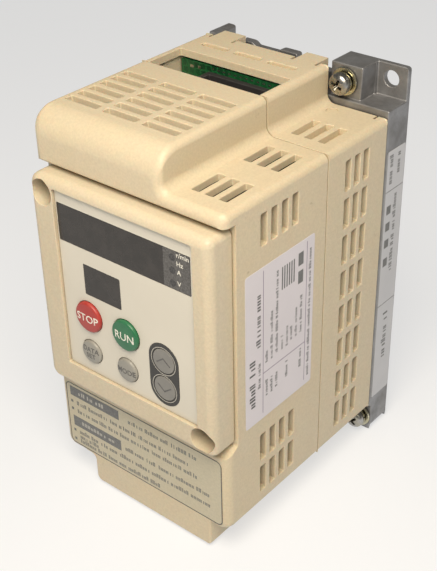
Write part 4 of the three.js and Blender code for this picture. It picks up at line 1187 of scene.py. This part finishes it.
def on_key(key, mesh, lift=0.035, shift=0.25):
    """Moves a flat legend onto a key's domed face."""
    span = Span(key)
    radius = key_radius(key)
    dome = dome_height(key)
    for vertex in mesh.vertices:
        vertex.co.x += shift
        reach = math.hypot(vertex.co.x, vertex.co.z) / (radius - 0.5)
        vertex.co.y += span.low.y + dome * reach ** 2 - lift
    mesh.transform(Matrix.Translation((span.middle.x, 0, span.middle.z)))
    return mesh


def add_legends():
    legends = [
        ("stop_key", "STOP", 3.6, WHITE_INK),
        ("run_key", "RUN", 3.7, WHITE_INK),
        ("data_set_key", "DATA\nSET", 2.4, DARK_INK),
        ("mode_key", "MODE", 2.5, DARK_INK),
    ]
    for key, text, size, ink in legends:
        place(f"{key}_legend", on_key(key, lettering(text, size)), ink, body=key)
    half, rise = 2.55, 1.0
    for key, sign in (("up_key", 1), ("down_key", -1)):
        chevron = stroke([(-half, -rise * sign), (0, rise * sign), (half, -rise * sign)], 0.42, 0.1)
        place(f"{key}_chevron", on_key(key, chevron, shift=0), DARK_INK, body=key)
        spot, radius = Span(key).middle, key_radius(key) + 0.42
        band = [(radius, 0), (radius + 0.2, 0), (radius + 0.2, 0.05), (radius, 0.05)]
        ring = swept_ring([(reach, ARROW_PAD.low.y - 0.03 + y) for reach, y in band], spot.x, spot.z)
        place(f"{key}_ring", ring, PALE_INK)
    unit_left = Span("unit_lamp_1").middle.x + 1.6
    rows = [("r/min", 94.2), ("Hz", 91.5), ("A", 88.9), ("V", 85.3)]
    letters = []
    for text, z in rows:
        word = lettering(text, 2.1, 0.05, 0.02)
        width = max(v.co.x for v in word.vertices)
        word.transform(Matrix.Translation((unit_left + width, OVERLAY_FRONT - 0.02, z)))
        letters.append(word)
    place("unit_legends", joined(letters), WHITE_INK)


def add_display_parts():
    """The digit module and the unit lamps behind the smoked window, and the tint printed on it."""
    outline = rectangle(LENS.high.x - 9.6, LENS.low.z + 0.1, LENS.high.x - 0.1, LENS.high.z - 0.1, 0.3)
    tint = prism(outline, "Y", OVERLAY_FRONT - 0.012, OVERLAY_FRONT - 0.002)
    place("display_tint", tint, TINT)
    spots = []
    for index in (1, 2, 3):
        lamp = Span(f"unit_lamp_{index}")
        spots.append(turned([(0.02, OVERLAY_FRONT - 0.022), (lamp.size.x / 2, OVERLAY_FRONT - 0.022),
                             (lamp.size.x / 2, OVERLAY_FRONT - 0.013)], lamp.middle.x, lamp.middle.z, 32))
    place("lamp_spots", joined(spots), SPOT_INK)
    module = Span("digit_display")
    body = rounded(
        block(module.low.x, module.high.x, module.low.y, module.high.y, module.low.z, module.high.z), [],
        otherwise=0.3, segments=3,
    )
    place("digit_module", body, BLACK_PLASTIC, stands_for=["digit_display"])
    digits, segments = 5, []
    pitch = module.size.x / digits
    tall, wide, bar = 3.1, 2.0, 0.62
    for digit in range(digits):
        x, z = module.low.x + pitch * (digit + 0.46), module.middle.z
        for level in (-1, 0, 1):
            segments.append(block(x - wide + 0.4, x + wide - 0.4, 0, 0.1, z + level * tall - bar / 2,
                                  z + level * tall + bar / 2))
        for side in (-1, 1):
            for level in (-0.5, 0.5):
                middle_z = z + level * tall
                edge = x + side * wide
                segments.append(block(edge - bar / 2, edge + bar / 2, 0, 0.1, middle_z - tall / 2 + 0.4,
                                      middle_z + tall / 2 - 0.4))
        segments.append(block(x + wide + 0.7, x + wide + 1.4, 0, 0.1, z - tall - 0.35, z - tall + 0.35))
    face = joined(segments)
    face.transform(Matrix.Translation((0, module.low.y - 0.06, 0)))
    place("digit_segments", face, PALE_INK)
    for index in (1, 2, 3):
        node = f"unit_lamp_{index}"
        lamp = Span(node)
        radius = lamp.size.x / 2
        profile = [(0.02, lamp.low.y)]
        for angle in quarter(6, 1):
            profile.append((radius * math.sin(angle), lamp.low.y + radius * (1 - math.cos(angle))))
        profile.append((radius, lamp.high.y))
        place(f"{node}_dome", turned(profile, lamp.middle.x, lamp.middle.z, 32), LAMP,
              stands_for=[node])


# ---------------------------------------------------------------- printed labels
def mark(surface, u0, u1, v0, v1):
    """A printed patch: u and v are (y, z) on the right side, or (x, z) on the front."""
    face, at, thickness = surface
    if face == "right":
        return block(at, at + thickness, u0, u1, v0, v1)
    return block(u0, u1, at - thickness, at, v0, v1)


def words(surface, u_middle, height, v0, v1, seed, vertical=False, glyph=0.8):
    """A row of short strokes in groups, like a line of small print that can't be read."""
    chance = random.Random(seed)
    patches, at = [], v0
    while at < v1:
        for _ in range(chance.randint(3, 8)):
            width = glyph * chance.uniform(0.55, 0.95)
            if at + width > v1:
                return patches
            tall = height * chance.choice((0.72, 0.72, 1.0))
            stroke_width = width * 0.4
            starts = (at, at + width - stroke_width) if chance.random() < 0.75 else (at + width / 2,)
            for start in starts:
                end = start + stroke_width
                if vertical:
                    foot = u_middle + height / 2
                    patches.append(mark(surface, foot - tall, foot, start, end))
                else:
                    foot = u_middle - height / 2
                    patches.append(mark(surface, start, end, foot, foot + tall))
            at += width + glyph * 0.28
        at += glyph * 0.7
    return patches


def frame_line(surface, left, bottom, right, top, radius, width):
    """A printed rounded frame on the front, as a ring of even width."""
    _, at, thickness = surface
    outer = rectangle(left, bottom, right, top, radius, 8)
    inner = rectangle(left + width, bottom + width, right - width, top - width, radius - width, 8)
    loops = []
    for outline, y in ((outer, at), (outer, at - thickness), (inner, at - thickness), (inner, at)):
        loops.append([Vector((p[0], y, p[1])) for p in outline])
    return loft(loops, closed=True)


def label_plate(node, material, thickness):
    """The label's film with rounded corners, on the surface that its node lies on."""
    span = Span(node)
    if span.size.x < span.size.y:
        outline = rectangle(span.low.y, span.low.z, span.high.y, span.high.z, 0.8)
        film = prism(outline, "X", HALF_WIDTH + 0.01, HALF_WIDTH + thickness)
    else:
        outline = rectangle(span.low.x, span.low.z, span.high.x, span.high.z, 2.0)
        film = prism(outline, "Y", FACE_Y - thickness, FACE_Y - 0.01)
    place(f"{node}_film", film, material, stands_for=[node])


def add_nameplate():
    label_plate("nameplate_label", WHITE_LABEL, LABEL_THICK)
    span = Span("nameplate_label")
    print_on = ("right", HALF_WIDTH + LABEL_THICK, INK_THICK)
    front, low, high = span.low.y, span.low.z, span.high.z
    head_rule, tail_rule, cross = front + 7.9, front + 28.2, low + 16.2
    rule = 0.22
    rules = [
        mark(print_on, head_rule, head_rule + rule, low + 2, high - 1.2),
        mark(print_on, tail_rule, tail_rule + rule, low + 2, high - 1.2),
        mark(print_on, head_rule, tail_rule, cross, cross + rule),
    ]
    place("nameplate_rules", joined(rules), RULE_INK)
    heading = words(print_on, front + 3.1, 2.6, low + 6.5, low + 25, 3, True, 2.2)
    heading += words(print_on, front + 6.2, 1.3, low + 12, low + 22, 4, True, 0.9)
    heading += words(print_on, front + 5.8, 2.0, low + 26, low + 45, 5, True, 1.7)
    place("nameplate_heading", joined(heading), DARK_INK)
    small = []
    captions = [(9.6, 7.5, 14), (11.9, 7.5, 14.5), (14.3, 8, 13.5), (19.2, 8.5, 15.5), (25.9, 8.5, 16)]
    values = [(9.6, 19.5, 24), (11.9, 19.5, 36), (14.3, 20, 49), (16.8, 20, 25), (19.2, 20, 27), (21.2, 21, 26.5),
              (23.5, 21, 32), (25.9, 21, 34.5), (29.9, 3, 49)]
    for number, (offset, start, end) in enumerate(captions + values):
        small += words(print_on, front + offset, 1.15, low + start, low + end, 10 + number, True, 0.95)
    place("nameplate_small_print", joined(small), GREY_INK)
    block_front, block_low, bar, bars = front + 16.4, low + 40.5, 0.55, 6
    hatch = [
        mark(print_on, block_front + 1.1 * index, block_front + 1.1 * index + bar, block_low, block_low + 7.5)
        for index in range(bars)
    ]
    hatch += [mark(print_on, front + 24.2, front + 26.6, low + z, low + z + 4.2) for z in (38.5, 44.5)]
    place("nameplate_blocks", joined(hatch), GREY_INK)


def add_caution_label():
    label_plate("caution_label", SILVER_LABEL, LABEL_THICK)
    span = Span("caution_label")
    print_on = ("right", HALF_WIDTH + LABEL_THICK, INK_THICK)
    front, back, low = span.low.y, span.high.y, span.low.z
    lines = [mark(print_on, front, back, z, z + 0.25) for z in (low + 37, low + 79)]
    lines += [mark(print_on, front, front + 0.25, low, span.high.z)]
    place("caution_rules", joined(lines), GREY_INK)
    text = words(print_on, front + 2.4, 2.1, low + 81.5, low + 92, 31, True, 1.6)
    text += words(print_on, front + 6.6, 1.9, low + 84, low + 92, 32, True, 1.5)
    text += words(print_on, front + 6.0, 1.8, low + 48.5, low + 78, 33, True, 1.3)
    text += words(print_on, front + 5.2, 2.6, low + 14, low + 34.5, 34, True, 2.0)
    for z in (53.4, 60.3, 66.4, 72.4):
        text.append(mark(print_on, front + 1.5, front + 3.9, low + z - 1.5, low + z + 1.5))
    place("caution_print", joined(text), GREY_INK)


def add_front_panel_print():
    label_plate("warning_label", PANEL_FILM, PANEL_THICK)
    span = Span("warning_label")
    print_on = ("front", FACE_Y - PANEL_THICK, INK_THICK)
    left, right, low, high = span.low.x, span.high.x, span.low.z, span.high.z
    line = frame_line(print_on, left, low, right, high, 2.0, 0.34)
    place("panel_frame", line, DARK_INK)
    bars = [mark(print_on, -30.6, -9.0, 21.1, 24.8), mark(print_on, -30.3, -8.9, 8.7, 12.8)]
    for z in (18.7, 15.6, 6.6, 2.9):
        bars.append(mark(print_on, -30.7, -29.7, z - 0.5, z + 0.5))
    place("panel_bars", joined(bars), GREY_INK)
    on_bars = ("front", FACE_Y - 0.05, 0.01)
    pale = words(on_bars, 23.0, 1.5, -27.5, -12.5, 41, glyph=2.0)
    pale += words(on_bars, 10.8, 1.4, -26.5, -11, 42, glyph=1.4)
    place("panel_bar_print", joined(pale), PALE_INK)
    text = []
    rows = [(22.6, -5, 23.5), (18.7, -28, 20.5), (15.4, -28, 24.5), (10.7, -7, 29.5), (6.7, -28, 29.8),
            (4.7, -28, -19.5), (2.9, -28, 7.5)]
    for number, (z, start, end) in enumerate(rows):
        text += words(print_on, z, 1.6, start, end, 50 + number, glyph=1.05)
    place("panel_small_print", joined(text), GREY_INK)


# ---------------------------------------------------------------- parts inside the housing
def add_window_parts():
    """The board edge and the plug header that show through the window in the top."""
    board = Span("power_board")
    front, back = board.low.y, board.high.y
    step_x, low_top = 10.4, 104.5
    outline = [
        (board.low.x, board.low.z, 1),
        (board.high.x, board.low.z, 1),
        (board.high.x, low_top, 1),
        (step_x, low_top),
        (step_x, board.high.z, 0.6),
        (board.low.x, board.high.z, 0.6),
    ]
    sheet = prism(rounded_outline(outline), "Y", front, back)
    holes = [round_opening("front", (x, front, z), 1.7, 3, rim=0.05) for x, z in BOARD_POSTS]
    place("power_board_laminate", cut(sheet, holes), BOARD, stands_for=["power_board"])
    header = Span("top_connector")
    low, high = header.low, header.high
    shell = rounded(block(low.x, high.x, low.y, high.y, low.z, high.z), [], otherwise=0.35, segments=3)
    slot_low_y, slot_high_y = high.y - 7.2, high.y - 2.2
    socket = opening(
        "top", (header.middle.x, (slot_low_y + slot_high_y) / 2, high.z), (high.x - low.x - 3.8, 5.0), 8.7,
        corner=0.3, rim=0.2,
    )
    shell = cut(shell, [socket])
    place("plug_header", shell, BLACK_PLASTIC, stands_for=["top_connector"])
    pins, count = [], 12
    for index in range(count):
        x = low.x + 3.2 + index * (high.x - low.x - 6.4) / (count - 1)
        y = (slot_low_y + slot_high_y) / 2
        pin = block(x - 0.3, x + 0.3, y - 0.3, y + 0.3, high.z - 8.7, high.z - 1.4)
        pins.append(rounded(pin, [], otherwise=0.12, segments=2))
    place("plug_header_pins", joined(pins), SOLDER)
    pads = []
    for x, z, wide in ((-27.5, 114.6, 1.6), (-24.6, 114.9, 1.1), (-22.3, 112.8, 1.2), (-28.9, 110.2, 1.0),
                       (-25.8, 110.9, 1.6), (-23.2, 109.6, 0.9)):
        pads.append(block(x - wide / 2, x + wide / 2, front - 0.08, front + 0.02, z - 0.4, z + 0.4))
    for index in range(14):
        x = low.x + 1.4 + index * 2.2
        pads.append(block(x - 0.45, x + 0.45, front - 0.08, front + 0.02, 115.35, 115.75))
    place("board_pads", joined(pads), SOLDER)


INSIDE_FINISHES = {
    "board": BOARD,
    "black": BLACK_PLASTIC,
    "grey": GREY_PLASTIC,
    "steel": ZINC,
    "sleeve": glossy_part("capacitor_sleeve", linear(30, 32, 44), 0.25),
    "winding": glossy_part("winding_tape", linear(196, 150, 54), 0.3),
    "relay": dark_moulding("relay_case", linear(38, 66, 120), 0.3),
    "glass": glossy_part("fuse_glass", linear(200, 204, 198), 0.08),
    "pad": dark_moulding("thermal_pad", linear(150, 156, 160), 0.7),
}
INSIDE_NODES = {
    "board": ["display_board", "control_board"],
    "black": ["keypad_connector", "board_link_header", "power_module", "stop_switch", "run_switch",
              "data_set_switch", "mode_switch", "up_switch", "down_switch"],
    "grey": ["signal_terminal_block", "power_terminal_block"],
    "steel": ["module_screw_1", "module_screw_2", "board_screw_1", "board_screw_2", "board_screw_3",
              "board_screw_4"],
    "sleeve": ["bus_capacitor_1", "bus_capacitor_2"],
    "winding": ["transformer"],
    "relay": ["relay"],
    "glass": ["fuse"],
    "pad": ["thermal_pad"],
}


def finish_inside_nodes():
    for finish, names in INSIDE_NODES.items():
        for name in names:
            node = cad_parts[name]
            node.data.materials.clear()
            node.data.materials.append(INSIDE_FINISHES[finish])


# ---------------------------------------------------------------- studio
FLOOR_GLOW = 0.6
WORLD_STRENGTH = 0.17
SENSOR_WIDTH = 36
FOCAL_SHARE = 1118.3 / 571
LENS_SHIFT = (0.00215, -0.00287)
CAMERA_ANGLES = (40.35, 32.32)
CAMERA_SPOT = Vector((192.2, -276.225, 243.8))
CAMERA_SIDE = Vector((0.76959, 0.63826, -0.01873))


def add_floor():
    size = 3.0
    mesh = mesh_of([(-size, -size, 0), (size, -size, 0), (size, size, 0), (-size, size, 0)], [(0, 1, 2, 3)])
    settings = {"Emission Color": (1.0, 1.0, 1.0, 1.0), "Emission Strength": FLOOR_GLOW}
    shader = Shader("studio_floor", (0.3, 0.3, 0.3, 1.0), 0.8, **settings)
    shader.uneven_gloss(4, 2, 0.75, 0.85)
    mesh.materials.append(shader.material)
    floor = new_object("studio_floor", mesh)
    floor.location.z = cad_box[0].z - 0.0002


def add_area_light(name, spot, target, size, power, colour):
    data = bpy.data.lights.new(name, "AREA")
    data.shape = "DISK"
    data.size = size
    data.energy = power
    data.color = colour
    light = new_object(name, data)
    light.location = spot
    light.rotation_euler = (Vector(target) - Vector(spot)).to_track_quat("-Z", "Y").to_euler()


def add_lights():
    world = bpy.data.worlds.new("studio")
    bpy.context.scene.world = world
    world.use_nodes = True
    sky = world.node_tree.nodes["Background"]
    sky.inputs["Color"].default_value = (1.0, 0.99, 0.97, 1.0)
    sky.inputs["Strength"].default_value = WORLD_STRENGTH
    target = (cad_box[0] + cad_box[1]) / 2
    add_area_light("main_light", (0.13, -0.20, 0.40), target, 0.26, 2.3, (1.0, 0.91, 0.77))
    add_area_light("fill_light", (0.60, -0.30, 0.40), target, 0.5, 0.3, (1.0, 0.96, 0.9))


def add_camera():
    """The photograph's view, as a position and directions in the frame."""
    data = bpy.data.cameras.new("camera")
    data.sensor_width = SENSOR_WIDTH
    data.lens = SENSOR_WIDTH * FOCAL_SHARE
    data.shift_x, data.shift_y = LENS_SHIFT
    camera = new_object("camera", data)
    azimuth, elevation = (math.radians(angle) for angle in CAMERA_ANGLES)
    forward = Vector((
        -math.sin(azimuth) * math.cos(elevation),
        math.cos(azimuth) * math.cos(elevation),
        -math.sin(elevation),
    ))
    up = CAMERA_SIDE.cross(forward).normalized()
    right = forward.cross(up)
    camera.matrix_world = Matrix((right, up, -forward)).transposed().to_4x4()
    camera.location = ORIGIN + CAMERA_SPOT * MM
    bpy.context.scene.camera = camera


add_camera()
add_front_case()
add_rear_case()
add_heat_sink()
add_earth_screws()
add_bezel()
add_overlay()
for key_name in KEYS:
    add_key(key_name)
add_legends()
add_display_parts()
add_nameplate()
add_caution_label()
add_front_panel_print()
add_window_parts()
finish_inside_nodes()
add_floor()
add_lights()
bpy.context.scene.view_settings.view_transform = "Standard"
